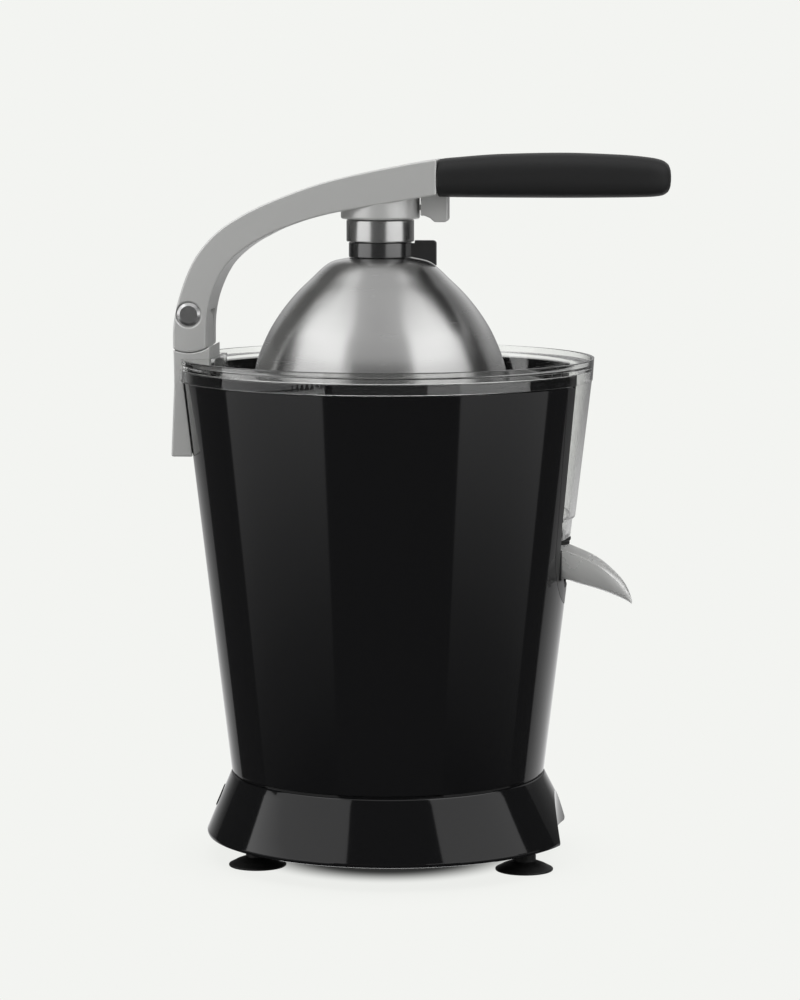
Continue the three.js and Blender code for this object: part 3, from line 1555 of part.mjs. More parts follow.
// The black frame of the front opening, which carries the spout's bearings
function spoutBezel() {
  const inner = chuteOutline(slidingGap, chuteBottomZ, housingTopZ + overrun);
  const blockRoom = blockHalfWidth + slidingGap;
  const low = [
    [chuteBottomHalf + slidingGap, chuteBottomZ + weldDistance],
    [-chuteBottomHalf - slidingGap, chuteBottomZ + weldDistance],
    [-blockRoom, trunnionZ - blockBottom - slidingGap],
    [-cradleHalfWidth - slidingGap, trunnionZ - blockBottom - slidingGap],
    [-cradleKeelHalf - slidingGap, trunnionZ - cradleDrop - slidingGap],
    [cradleKeelHalf + slidingGap, trunnionZ - cradleDrop - slidingGap],
    [cradleHalfWidth + slidingGap, trunnionZ - blockBottom - slidingGap],
    [blockRoom, trunnionZ - blockBottom - slidingGap],
  ];
  const inPlane = (outlinePoints) => lengthways(outlinePoints, 0, frontEndX);
  const topZ = housingTopZ - seatGap;
  const skin = cone(0, 0, topZ).subtract(cone(-housingWall, -overrun, topZ + overrun));
  const face = skin.intersect(inPlane(slotOutline(-seatGap)));
  const lipInside = housingWall - tubOffset - bezelDepth;
  const behind = cone(-tubOffset, 0, topZ).subtract(cone(lipInside, -overrun, topZ + overrun));
  const lip = behind.intersect(inPlane(slotOutline(bezelLip)));
  const join = cone(-housingWall + weldDistance, 0, topZ)
    .subtract(cone(-tubOffset - seatGap, -overrun, topZ + overrun))
    .intersect(inPlane(slotOutline(-seatGap)));
  const openings = inPlane(inner).add(inPlane(low));
  const ears = [-1, 1].map((side) => {
    const from = side * (blockHalfWidth + slidingGap);
    const to = from + side * earThickness;
    const plate = sideways(
      [
        [spoutAxisX + earRadius * 2, trunnionZ - earRadius],
        [spoutAxisX + earRadius * 2, trunnionZ + earRadius],
        ...arc(spoutAxisX, trunnionZ, earRadius, 90, 270, narrowSides / 2),
      ],
      earThickness,
    );
    return plate.translate([0, (from + to) / 2, 0]);
  });
  const bearing = rod(trunnionRadius + runningGap, -frontEndX, frontEndX, midSides, spoutAxis);
  const inBody = cone(-housingWall, 0, topZ);
  return face
    .add(join)
    .add(lip)
    .subtract(openings)
    .add(ears[0].add(ears[1]).intersect(inBody))
    .subtract(bearing.intersect(block(0, spoutAxisX + earRadius, -frontEndX, frontEndX, 0, housingTopZ)));
}

// A spur gear's solid rim, with a tooth centred on the given angle
function gear(teeth, size, bottom, top, phase, place) {
  const pitch = (teeth * size) / 2;
  const tip = pitch + size * addendumShare;
  const root = pitch - size * dedendumShare;
  const step = (2 * Math.PI) / teeth;
  const points = [];
  for (let i = 0; i < teeth; i += 1) {
    const middle = phase + i * step;
    for (const [radius, share] of [
      [root, -toothRootShare],
      [tip, -toothTipShare],
      [tip, toothTipShare],
      [root, toothRootShare],
    ]) {
      const angle = middle + share * step;
      points.push([radius * Math.cos(angle), radius * Math.sin(angle)]);
    }
  }
  return standing(points, bottom, top, place);
}

const layPlace = placed(layX, layY, 0);
const motorPlace = placed(motorX, 0, 0);
const toLay = Math.atan2(layY, layX);
const layToMotor = Math.atan2(-layY, motorX - layX);
const boreHex = spindleHexRadius + runningGap * 2;

function outputGear() {
  const lowerEnd = gearboxBottomZ;
  return gear(outputTeeth, outputModule, outputBottomZ, outputTopZ, toLay, upright)
    .add(rod(hubLowerRadius, lowerEnd, outputBottomZ + weldDistance))
    .add(rod(hubUpperRadius, outputTopZ - weldDistance, hubTopZ))
    .subtract(standing(hexagon(boreHex), 0, hubTopZ + overrun));
}

function layGear() {
  const wheel = gear(wheelTeeth, wheelModule, wheelBottomZ, wheelTopZ, layToMotor, layPlace);
  const phase = toLay + Math.PI + Math.PI / layTeeth;
  const pinion = gear(layTeeth, outputModule, outputBottomZ, outputTopZ, phase, layPlace);
  const neckRadius = layPitch - outputModule * dedendumShare;
  const neck = rod(neckRadius, wheelTopZ - weldDistance, outputBottomZ + weldDistance, midSides, layPlace);
  return wheel.add(pinion).add(neck).subtract(rod(axleRadius + runningGap, 0, hubTopZ, midSides, layPlace));
}

function layAxle() {
  return rod(axleRadius, gearboxBottomZ + gearboxFloor / 3, coverTopZ - gearboxFloor / 3, midSides, layPlace);
}

function motorPinion() {
  const phase = layToMotor + Math.PI + Math.PI / pinionTeeth;
  const teeth = gear(pinionTeeth, wheelModule, wheelBottomZ, wheelTopZ, phase, motorPlace);
  return teeth.subtract(rod(shaftRadius + seatGap, 0, hubTopZ, midSides, motorPlace));
}

// The gearbox's plan: the band round both gear circles
function gearboxPlan(shrink, bottom, top) {
  const lean = Math.acos((outputCase - wheelCase) / layDistance);
  const heading = THREE.MathUtils.radToDeg(toLay);
  const half = THREE.MathUtils.radToDeg(lean);
  const band = [
    ...arc(0, 0, outputCase - shrink, heading + half, heading + 360 - half, wideSides / 2),
    ...arc(layX, layY, wheelCase - shrink, heading - half, heading + half, wideSides / 2),
  ];
  const pinionCase = pinionPitch + wheelModule + gearRoom + gearboxWall;
  return standing(band, bottom, top).add(rod(pinionCase - shrink, bottom, top, midSides, motorPlace));
}

function gearboxLower() {
  const motorFlange = rod(motorScrewY + motorPostRadius, gearboxBottomZ, gearboxFloorZ, midSides, motorPlace);
  let box = gearboxPlan(0, gearboxBottomZ, gearboxTopZ).add(motorFlange);
  for (const [x, y] of earPlaces) {
    box = box.add(post(gearEarRadius, gearboxBottomZ, gearboxTopZ, x, y));
  }
  box = box.subtract(gearboxPlan(gearboxWall, gearboxFloorZ, gearboxTopZ + overrun));
  for (const [x, y] of earPlaces) {
    box = box.subtract(post(gearScrewRadius + seatGap, 0, gearboxTopZ + overrun, x, y));
  }
  const postBottom = gearboxBottomZ - motorPostLength + seatGap;
  for (const y of [-motorScrewY, motorScrewY]) {
    const place = placed(motorX, y, 0);
    box = box.add(rod(motorPostRadius, postBottom, gearboxFloorZ, narrowSides, place));
    box = box.subtract(rod(motorScrewRadius + seatGap, 0, gearboxBottomZ, narrowSides, place));
  }
  const switchBack = switchWidth / 2 + seatGap;
  const switchPlateForm = block(
    switchBack,
    switchBack + switchPlate,
    -switchLength / 2,
    switchLength / 2,
    gearboxBottomZ - plungerRise - clipHeight * 2 - pressTravel - switchHeight,
    gearboxFloorZ - gearboxFloor / 3,
  );
  const clipRoomZ = clipTopZ - clipHeight - pressTravel - seatGap;
  const axleSeatZ = gearboxBottomZ + gearboxFloor / 3 - seatGap;
  return box
    .add(switchPlateForm)
    .subtract(rod(clipRadius + slidingGap, clipRoomZ, gearboxBottomZ, midSides))
    .subtract(rod(hubLowerRadius + hubGap, 0, gearboxTopZ))
    .subtract(rod(shaftRadius + slidingGap, 0, gearboxTopZ, midSides, motorPlace))
    .subtract(rod(axleRadius + seatGap, axleSeatZ, gearboxTopZ, midSides, layPlace));
}

function gearboxCover() {
  const bottom = gearboxTopZ + seatGap;
  let cover = gearboxPlan(0, bottom, coverTopZ);
  for (const [x, y] of earPlaces) {
    cover = cover.add(post(gearEarRadius, bottom, coverTopZ, x, y));
  }
  cover = cover.add(rod(hubUpperRadius + hubGap + bearingWall, bottom, hubTopZ - seatGap * 2));
  const axleBossZ = outputTopZ + seatGap * 2;
  cover = cover.add(rod(axleRadius + bearingWall, axleBossZ, bottom + weldDistance, midSides, layPlace));
  for (const [x, y] of earPlaces) {
    cover = cover.subtract(post(gearScrewRadius + seatGap, 0, coverTopZ + overrun, x, y));
  }
  return cover
    .subtract(rod(hubUpperRadius + hubGap, 0, hubTopZ))
    .subtract(rod(axleRadius + seatGap, 0, coverTopZ - gearboxFloor / 3 + seatGap, midSides, layPlace));
}

function gearboxScrew(x, y) {
  const top = gearboxBottomZ - seatGap;
  const profile = [
    [0, top - gearScrewHeadHeight],
    [gearScrewHeadRadius, top - gearScrewHeadHeight],
    [gearScrewHeadRadius, top],
    [gearScrewRadius, top],
    [gearScrewRadius, coverTopZ + gearScrewGrip],
    [0, coverTopZ + gearScrewGrip],
  ];
  return revolve(profile, screwSides, placed(x, y, 0));
}

const motorScrewPlaces = [-motorScrewY, motorScrewY];

function motorStator() {
  let stator = tube(statorBore, motorRadius, statorBottomZ, statorTopZ, wideSides, motorPlace);
  for (const y of motorScrewPlaces) {
    stator = stator.subtract(post(motorScrewRadius + seatGap, 0, gearboxBottomZ, motorX, y));
  }
  return stator;
}

function motorCoil(bottom) {
  return tube(coilInner, coilOuter, bottom, bottom + coilHeight - seatGap, midSides, motorPlace);
}

function motorRotor() {
  const winding = coilInner - seatGap * 2;
  const neckTop = statorTopZ + coilHeight;
  const neckBottom = statorBottomZ - coilHeight;
  return revolve(
    [
      [0, endBracketBottomZ - fanGap - fanHeight],
      [shaftRadius, endBracketBottomZ - fanGap - fanHeight],
      [shaftRadius, neckBottom],
      [winding * windingShare, neckBottom + fanGap],
      [rotorRadius, statorBottomZ - fanGap],
      [rotorRadius, statorTopZ + fanGap],
      [winding * windingShare, neckTop - fanGap],
      [shaftRadius, neckTop],
      [shaftRadius, wheelTopZ],
      [0, wheelTopZ],
    ],
    midSides,
    motorPlace,
  );
}

function endBracket() {
  const half = motorScrewY + motorPostRadius;
  let bracket = block(
    motorX - endBracketWidth / 2,
    motorX + endBracketWidth / 2,
    -half,
    half,
    endBracketBottomZ,
    endBracketTopZ,
  );
  for (const y of motorScrewPlaces) {
    const holder = post(motorPostRadius, endBracketBottomZ, statorBottomZ - seatGap, motorX, y);
    bracket = bracket.add(holder).subtract(post(motorScrewRadius + seatGap, 0, statorTopZ, motorX, y));
  }
  return bracket.subtract(rod(shaftRadius + runningGap, 0, statorBottomZ, midSides, motorPlace));
}

function motorScrew(y) {
  const top = endBracketBottomZ - seatGap;
  const tip = gearboxBottomZ - gearboxFloor;
  const profile = [
    [0, top - motorScrewHeadHeight],
    [motorScrewHeadRadius, top - motorScrewHeadHeight],
    [motorScrewHeadRadius, top],
    [motorScrewRadius, top],
    [motorScrewRadius, tip],
    [0, tip],
  ];
  return revolve(profile, screwSides, placed(motorX, y, 0));
}

function coolingFan() {
  const top = endBracketBottomZ - fanGap;
  const bottom = top - fanHeight;
  let fan = rod(fanHubRadius, bottom, top, midSides, motorPlace).add(
    rod(fanRadius, bottom, bottom + fanDisc, wideSides, motorPlace),
  );
  for (let i = 0; i < fanBlades; i += 1) {
    const turn = new THREE.Matrix4().makeRotationZ((2 * Math.PI * i) / fanBlades);
    const blade = [
      [fanHubRadius - fanDisc, -fanBladeThickness / 2],
      [fanRadius - fanDisc, -fanBladeThickness / 2],
      [fanRadius - fanDisc, fanBladeThickness / 2],
      [fanHubRadius - fanDisc, fanBladeThickness / 2],
    ];
    fan = fan.add(standing(blade, bottom + fanDisc / 2, top, placed(motorX, 0, 0, turn)));
  }
  return fan.subtract(rod(shaftRadius + seatGap, bottom - overrun, top + overrun, midSides, motorPlace));
}

const springTopZ = hubTopZ + springLength;
const clipTopZ = gearboxBottomZ - seatGap;

function driveSpindle() {
  const tail = clipTopZ - clipHeight - spindleTail;
  const hexBottom = clipTopZ - clipHeight - seatGap;
  const hexLower = standing(hexagon(spindleHexRadius), hexBottom, springTopZ + weldDistance);
  const tailRod = rod(plungerRadius + seatGap, tail + spindleTail - clipHeight, clipTopZ - clipHeight);
  const clip = rod(clipRadius, clipTopZ - clipHeight, clipTopZ);
  const collarForm = rod(springCollar, springTopZ, springTopZ + springCollarHeight);
  const shaft = rod(spindleRadius, springTopZ, flangeTopZ);
  const flange = rod(spindleFlange, flangeTopZ - spindleFlangeHeight, flangeTopZ);
  const hexUpper = standing(hexagon(spindleHexRadius), flangeTopZ - weldDistance, spindleTopZ);
  return hexLower.add(clip).add(collarForm).add(shaft).add(flange).add(hexUpper).add(tailRod);
}

function spindleSpring() {
  return coil(springRadius - springWire / 2, springWire, springTurns, hubTopZ, springTopZ);
}

function spindleBush() {
  const top = collarTopZ;
  return tube(spindleRadius + runningGap, collarBore - seatGap, tubBottomZ, top, midSides);
}

const switchTopZ = clipTopZ - clipHeight * 2 - pressTravel - plungerRise + clipHeight;

function switchBody() {
  const body = block(
    -switchWidth / 2,
    switchWidth / 2,
    -switchLength / 2,
    switchLength / 2,
    switchTopZ - switchHeight,
    switchTopZ,
  );
  const boreZ = switchTopZ - switchHeight / 2;
  return body.subtract(rod(plungerRadius + runningGap, boreZ, switchTopZ + overrun, narrowSides));
}

function switchPlunger() {
  const bottom = switchTopZ - switchHeight / 2 + pressTravel + seatGap;
  return rod(plungerRadius, bottom, clipTopZ - clipHeight * 2 - seatGap * 2, narrowSides);
}

// The press: nested groups for the parts that move, each with its origin on its own axis
class Assembly {
  constructor(name, parent = null, x = 0, y = 0, z = 0) {
    this.group = new THREE.Group();
    this.group.name = name;
    this.origin = [x, y, z];
    const base = parent ? parent.origin : [0, 0, 0];
    this.group.position.set(x - base[0], y - base[1], z - base[2]);
    if (parent) parent.group.add(this.group);
  }

  add(name, solid, material) {
    const [x, y, z] = this.origin;
    this.group.add(meshOf(name, solid.translate([-x, -y, -z]), material));
  }
}

const press = new Assembly("citrus_press");
const body = new Assembly("body_parts", press);
body.add("housing_shell", housingShell(), glossBlack);
body.add("inner_deck", innerDeck(), glossBlack);
body.add("base_skirt", baseSkirt(), glossBlack);
body.add("base_plate", basePlate(), blackPlastic);
footPlaces.forEach(([x, y], i) => body.add(`suction_foot_${i + 1}`, suctionFoot(x, y), rubber));
baseScrewPlaces.forEach(([x, y], i) => body.add(`base_screw_${i + 1}`, baseScrew(x, y), darkSteel));
body.add("cord_gland", cordGland(), rubber);
body.add("spout_bezel", spoutBezel(), blackPlastic);
body.add("lever_bracket", leverBracket(), castMetal);
bracketScrewPlaces.forEach((y, i) => body.add(`bracket_screw_${i + 1}`, bracketScrew(y), darkSteel));
body.add("pivot_bush", pivotBush(), brass);
body.add("spindle_bush", spindleBush(), brass);
body.add("juice_bowl", juiceBowl(), clearPlastic);
body.add("outlet_seal", outletSeal(), rubber);
body.add("sieve", sieve(), brushedSteel);

const lever = new Assembly("lever_parts", press, pinX, 0, pinZ);
lever.add("lever_arm", leverArm(), castMetal);
lever.add("pivot_pin", pivotPin(), brushedSteel);
lever.add("pivot_cap", pivotCap(), brushedSteel);
lever.add("grip", grip(), softTouch);
lever.add("collar", collar(), castMetal);
lever.add("release_trigger", releaseTrigger(), castMetal);

const domeGroup = new Assembly("dome_parts", lever, domeAxisX, 0, domeRimZ);
domeGroup.add("dome", dome(), brushedSteel);
domeGroup.add("dome_ring", domeRing(), blackPlastic);
domeGroup.add("dome_stem", domeStem(), brushedSteel);
domeGroup.add("stem_nut", stemNut(), darkSteel);

const spoutGroup = new Assembly("spout_parts", press, spoutAxisX, 0, trunnionZ);
spoutGroup.add("spout", spout(), brushedSteel);
spoutGroup.add("spout_block", spoutBlock(), blackPlastic);

const drive = new Assembly("drive_parts", press, 0, 0, hubTopZ);
drive.add("reamer", reamer(), blackPlastic);
drive.add("drive_spindle", driveSpindle(), darkSteel);
drive.add("spindle_spring", spindleSpring(), darkSteel);
drive.add("output_gear", outputGear(), whitePlastic);
drive.add("lay_gear", layGear(), whitePlastic);
drive.add("lay_axle", layAxle(), darkSteel);
drive.add("motor_pinion", motorPinion(), brass);
drive.add("motor_rotor", motorRotor(), darkSteel);
drive.add("cooling_fan", coolingFan(), whitePlastic);
drive.add("motor_stator", motorStator(), darkSteel);
drive.add("motor_coil_1", motorCoil(statorTopZ + seatGap), copper);
drive.add("motor_coil_2", motorCoil(statorBottomZ - coilHeight), copper);
drive.add("motor_end_bracket", endBracket(), darkSteel);
motorScrewPlaces.forEach((y, i) => drive.add(`motor_screw_${i + 1}`, motorScrew(y), darkSteel));
drive.add("gearbox_lower", gearboxLower(), whitePlastic);
drive.add("gearbox_cover", gearboxCover(), whitePlastic);
earPlaces.forEach(([x, y], i) => drive.add(`gearbox_screw_${i + 1}`, gearboxScrew(x, y), darkSteel));
drive.add("switch_body", switchBody(), whitePlastic);
drive.add("switch_plunger", switchPlunger(), whitePlastic);

const gripEndX = gripStartX + gripLength;
press.group.position.x = (bracketFootX + edgeRound - gripEndX) / 2;
press.group.updateMatrixWorld(true);

export default press.group;
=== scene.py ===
# Looks for the lever citrus press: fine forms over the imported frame, materials, light and camera.
import json
import math

import bmesh
import bpy
from mathutils import Matrix, Vector


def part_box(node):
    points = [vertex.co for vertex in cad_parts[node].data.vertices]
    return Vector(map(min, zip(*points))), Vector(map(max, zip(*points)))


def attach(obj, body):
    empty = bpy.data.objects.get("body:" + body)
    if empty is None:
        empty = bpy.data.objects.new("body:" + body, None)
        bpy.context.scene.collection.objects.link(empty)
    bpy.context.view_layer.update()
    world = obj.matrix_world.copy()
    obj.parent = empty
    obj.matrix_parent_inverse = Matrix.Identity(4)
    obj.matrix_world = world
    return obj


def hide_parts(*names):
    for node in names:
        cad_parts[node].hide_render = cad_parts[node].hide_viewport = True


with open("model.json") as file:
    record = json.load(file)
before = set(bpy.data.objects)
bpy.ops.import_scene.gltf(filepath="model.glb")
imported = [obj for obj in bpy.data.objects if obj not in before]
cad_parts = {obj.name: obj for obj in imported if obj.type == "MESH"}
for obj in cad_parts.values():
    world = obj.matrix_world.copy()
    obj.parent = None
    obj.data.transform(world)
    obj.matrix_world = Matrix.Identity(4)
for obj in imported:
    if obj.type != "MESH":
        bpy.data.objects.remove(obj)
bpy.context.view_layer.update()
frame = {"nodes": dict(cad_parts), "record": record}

# The frame's origin lies this far in front of the housing's axis, in millimetres
SHIFT = -15.4
MM = 0.001
# A point nearer to another than this, in metres, is the same point
SAME_POINT = 2e-6

# The housing's cone: its radius and height at the foot, and how far it flares over its rise
FOOT_RADIUS = 76
FOOT_Z = 42.6
FLARE = 22
RISE = 188.7

# How finely the large, middling and small round pieces are turned
LARGE, MIDDLE, SMALL = 256, 96, 64


def place(x, y, z):
    """A point of the housing's frame in millimetres, as a point of the row's frame in metres."""
    return Vector(((x + SHIFT) * MM, y * MM, z * MM))


def body_radius(z):
    return FOOT_RADIUS + FLARE * (z - FOOT_Z) / RISE


# How the pieces are shaped

def shade(obj, angle=30):
    """Smooth faces, with the edges sharper than an angle kept crisp."""
    mesh = obj.data
    mesh.polygons.foreach_set("use_smooth", [True] * len(mesh.polygons))
    mesh.set_sharp_from_angle(angle=math.radians(angle))
    mesh.update()
    return obj


def made_object(name, bm, angle=30):
    """An object of a closed bmesh, with its doubles merged and its faces turned outwards."""
    bmesh.ops.remove_doubles(bm, verts=bm.verts[:], dist=SAME_POINT)
    bmesh.ops.recalc_face_normals(bm, faces=bm.faces[:])
    if bm.calc_volume(signed=True) < 0:
        bmesh.ops.reverse_faces(bm, faces=bm.faces[:])
    mesh = bpy.data.meshes.new(name)
    bm.to_mesh(mesh)
    bm.free()
    obj = bpy.data.objects.new(name, mesh)
    bpy.context.scene.collection.objects.link(obj)
    return shade(obj, angle)


def fillet(points, steps=4):
    """Rounds the corners of a closed outline whose points may carry a radius."""
    out = []
    count = len(points)
    for i, point in enumerate(points):
        radius = point[2] if len(point) > 2 else 0
        here = Vector(point[:2])
        if radius <= 0:
            out.append((here.x, here.y))
            continue
        before = Vector(points[i - 1][:2]) - here
        after = Vector(points[(i + 1) % count][:2]) - here
        half = before.angle(after) / 2
        reach = min(radius / math.tan(half), before.length * 0.49, after.length * 0.49)
        radius = reach * math.tan(half)
        start = here + before.normalized() * reach
        end = here + after.normalized() * reach
        middle = here + (before.normalized() + after.normalized()).normalized() * (radius / math.sin(half))
        a = start - middle
        b = end - middle
        turn = math.atan2(a.x * b.y - a.y * b.x, a.dot(b))
        for k in range(steps + 1):
            t = turn * k / steps
            c, s = math.cos(t), math.sin(t)
            out.append((middle.x + a.x * c - a.y * s, middle.y + a.x * s + a.y * c))
    return out


def spline(points, per=8, closed=False):
    """A smooth line through points, with chord-length spacing."""
    pts = [Vector(p) for p in points]
    out = []
    n = len(pts)
    for i in range(n if closed else n - 1):
        p1, p2 = pts[i], pts[(i + 1) % n]
        p0 = pts[i - 1] if i > 0 or closed else p1 + (p1 - p2)
        p3 = pts[(i + 2) % n] if i + 2 < n or closed else p2 + (p2 - p1)
        d1, d2, d3 = (max((b - a).length, 1e-6) ** 0.5 for a, b in ((p0, p1), (p1, p2), (p2, p3)))
        m1 = (p2 - p1 + d2 * ((p1 - p0) / d1 - (p2 - p0) / (d1 + d2)))
        m2 = (p2 - p1 + d2 * ((p3 - p2) / d3 - (p3 - p1) / (d2 + d3)))
        for k in range(per):
            t = k / per
            a, b = 2 * t**3 - 3 * t**2 + 1, t**3 - 2 * t**2 + t
            c, d = -2 * t**3 + 3 * t**2, t**3 - t**2
            out.append(a * p1 + b * m1 + c * p2 + d * m2)
    if not closed:
        out.append(pts[-1])
    return [tuple(p) for p in out]


def arc(x, z, radius, start, end, steps=24):
    """Points along part of a circle, from one turn to another in degrees."""
    turns = [math.radians(start + (end - start) * i / steps) for i in range(steps + 1)]
    return [(x + radius * math.cos(turn), z + radius * math.sin(turn)) for turn in turns]


def turned(name, profile, x0=0, y0=0, sides=192, angle=30, axis="Z", z0=0):
    """A closed profile of radius and height, spun a full turn about an upright or level axis."""
    bm = bmesh.new()
    first = math.pi / sides
    across, aside = math.cos(first), math.sin(first)
    corners = []
    for radius, height in profile:
        point = {
            "Z": (x0 + radius * across, y0 + radius * aside, z0 + height),
            "Y": (x0 + radius * across, y0 + height, z0 + radius * aside),
            "X": (x0 + height, y0 + radius * across, z0 + radius * aside),
        }[axis]
        corners.append(bm.verts.new(place(*point)))
    edges = [
        bm.edges.new((corners[i - 1], corners[i]))
        for i in range(len(corners)) if profile[i][0] or profile[i - 1][0]
    ]
    way = {"X": (1, 0, 0), "Y": (0, 1, 0), "Z": (0, 0, 1)}[axis]
    bmesh.ops.spin(
        bm, geom=corners + edges, cent=place(x0, y0, z0), axis=way, dvec=(0, 0, 0),
        angle=math.tau, steps=sides, use_merge=True, use_duplicate=False,
    )
    return made_object(name, bm, angle)


def loft(name, rings, angle=30):
    """Rings of points bridged one to the next, with a face over each end."""
    bm = bmesh.new()
    loops = []
    for ring in rings:
        corners = [bm.verts.new(place(*point)) for point in ring]
        loops.append([bm.edges.new((corners[i - 1], corners[i])) for i in range(len(corners))])
    for lower, upper in zip(loops, loops[1:]):
        bmesh.ops.bridge_loops(bm, edges=lower + upper)
    for end in (loops[0], loops[-1]):
        bmesh.ops.contextual_create(bm, geom=end)
    return made_object(name, bm, angle)


def prism(name, outline, low, high, axis="Y", angle=30):
    """An outline extruded along an axis: x and z for Y, y and z for X, x and y for Z."""
    def at(point, along):
        return {
            "X": (along, point[0], point[1]),
            "Y": (point[0], along, point[1]),
            "Z": (point[0], point[1], along),
        }[axis]

    bm = bmesh.new()
    face = bm.faces.new([bm.verts.new(place(*at(point, low))) for point in outline])
    pushed = bmesh.ops.extrude_face_region(bm, geom=[face], use_keep_orig=True)["geom"]
    way = "XYZ".index(axis)
    end = place(*at((0, 0), high))[way]
    for corner in pushed:
        if isinstance(corner, bmesh.types.BMVert):
            corner.co[way] = end
    return made_object(name, bm, angle)


def slab(name, low, high):
    """An upright block between two corners."""
    outline = [(low[0], low[2]), (high[0], low[2]), (high[0], high[2]), (low[0], high[2])]
    return prism(name, outline, low[1], high[1])


def settle(obj):
    """Bakes the modifiers into the mesh."""
    graph = bpy.context.evaluated_depsgraph_get()
    mesh = bpy.data.meshes.new_from_object(obj.evaluated_get(graph))
    obj.modifiers.clear()
    obj.data = mesh
    return obj


def combine(obj, tool, operation, angle=30):
    """Works a tool into a piece and removes the tool."""
    mod = obj.modifiers.new("combine", "BOOLEAN")
    mod.operation = operation
    mod.solver = "MANIFOLD"
    mod.object = tool
    bpy.context.view_layer.update()
    settle(obj)
    bpy.data.objects.remove(tool)
    return shade(obj, angle)


def cut(obj, *tools, angle=30):
    for tool in tools:
        combine(obj, tool, "DIFFERENCE", angle)
    return obj


def join(obj, *tools, angle=30):
    for tool in tools:
        combine(obj, tool, "UNION", angle)
    return obj


def keep(obj, *tools, angle=30):
    for tool in tools:
        combine(obj, tool, "INTERSECT", angle)
    return obj


def soften(obj, width, segments=3, angle=35, shade_angle=30):
    """Rounds the edges sharper than an angle."""
    mod = obj.modifiers.new("soften", "BEVEL")
    mod.width = width * MM
    mod.segments = segments
    mod.limit_method = "ANGLE"
    mod.angle_limit = math.radians(angle)
    mod.use_clamp_overlap = True
    mod.harden_normals = False
    bpy.context.view_layer.update()
    settle(obj)
    return shade(obj, shade_angle)


# Materials

def worked(tree, operation, *values, clamp=False):
    """A calculation over sockets or plain numbers."""
    node = tree.nodes.new("ShaderNodeMath")
    node.operation = operation
    node.use_clamp = clamp
    for socket, value in zip(node.inputs, values):
        if isinstance(value, bpy.types.NodeSocket):
            tree.links.new(value, socket)
        else:
            socket.default_value = value
    return node.outputs[0]


def ranged(tree, value, start, end, to_start, to_end, kind="LINEAR"):
    """A value carried over from one range to another."""
    node = tree.nodes.new("ShaderNodeMapRange")
    node.interpolation_type = kind
    for label, limit in (("From Min", start), ("From Max", end), ("To Min", to_start), ("To Max", to_end)):
        node.inputs[label].default_value = limit
    tree.links.new(value, node.inputs["Value"])
    return node.outputs[0]


def mixed(tree, share, first, second):
    """One shader that gives way to another as a share goes from nought to one."""
    node = tree.nodes.new("ShaderNodeMixShader")
    for socket, source in zip(node.inputs, (share, first, second)):
        tree.links.new(source, socket)
    return node.outputs[0]


def plain_shader(tree, kind, color, strength=None):
    """A shader of one colour, with a strength where its kind has one."""
    node = tree.nodes.new(kind)
    node.inputs["Color"].default_value = (*color, 1)
    if strength is not None:
        node.inputs["Strength"].default_value = strength
    return node.outputs[0]


def principled(name, color, rough, metal=0.0, **more):
    mat = bpy.data.materials.new(name)
    mat.use_nodes = True
    shader = mat.node_tree.nodes["Principled BSDF"]
    shader.inputs["Base Color"].default_value = (*color, 1)
    shader.inputs["Roughness"].default_value = rough
    shader.inputs["Metallic"].default_value = metal
    for key, value in more.items():
        shader.inputs[key.replace("_", " ")].default_value = value
    return mat


def wear_group():
    """Fine unevenness shared by the materials: a small bump and a small change of roughness."""
    group = bpy.data.node_groups.new("fine_surface", "ShaderNodeTree")
    for label, default in (("Scale", 900.0), ("Bump", 0.02), ("Rough", 0.3), ("Spread", 0.05)):
        socket = group.interface.new_socket(label, in_out="INPUT", socket_type="NodeSocketFloat")
        socket.default_value = default
    vector = group.interface.new_socket("Stretch", in_out="INPUT", socket_type="NodeSocketVector")
    vector.default_value = (1, 1, 1)
    group.interface.new_socket("Roughness", in_out="OUTPUT", socket_type="NodeSocketFloat")
    group.interface.new_socket("Normal", in_out="OUTPUT", socket_type="NodeSocketVector")
    n, link = group.nodes, group.links.new
    given, result = n.new("NodeGroupInput"), n.new("NodeGroupOutput")
    coords = n.new("ShaderNodeTexCoord")
    scaled = n.new("ShaderNodeVectorMath")
    scaled.operation = "MULTIPLY"
    noise = n.new("ShaderNodeTexNoise")
    noise.inputs["Detail"].default_value = 3
    bump = n.new("ShaderNodeBump")
    bump.inputs["Distance"].default_value = 0.0002
    link(coords.outputs["Object"], scaled.inputs[0])
    link(given.outputs["Stretch"], scaled.inputs[1])
    link(scaled.outputs[0], noise.inputs["Vector"])
    link(given.outputs["Scale"], noise.inputs["Scale"])
    centred = worked(group, "SUBTRACT", noise.outputs["Fac"], 0.5)
    rough = worked(group, "MULTIPLY_ADD", centred, given.outputs["Spread"], given.outputs["Rough"])
    link(rough, result.inputs["Roughness"])
    link(noise.outputs["Fac"], bump.inputs["Height"])
    link(given.outputs["Bump"], bump.inputs["Strength"])
    link(bump.outputs["Normal"], result.inputs["Normal"])
    return group


FINE = wear_group()


def surfaced(name, color, rough, metal=0.0, scale=900.0, bump=0.02, spread=0.05, stretch=(1, 1, 1), **more):
    """A principled material with the fine unevenness on it."""
    mat = principled(name, color, rough, metal, **more)
    tree = mat.node_tree
    node = tree.nodes.new("ShaderNodeGroup")
    node.node_tree = FINE
    given = {"Scale": scale, "Bump": bump, "Rough": rough, "Spread": spread, "Stretch": stretch}
    for key, value in given.items():
        node.inputs[key].default_value = value
    shader = tree.nodes["Principled BSDF"]
    for label in ("Roughness", "Normal"):
        tree.links.new(node.outputs[label], shader.inputs[label])
    return mat


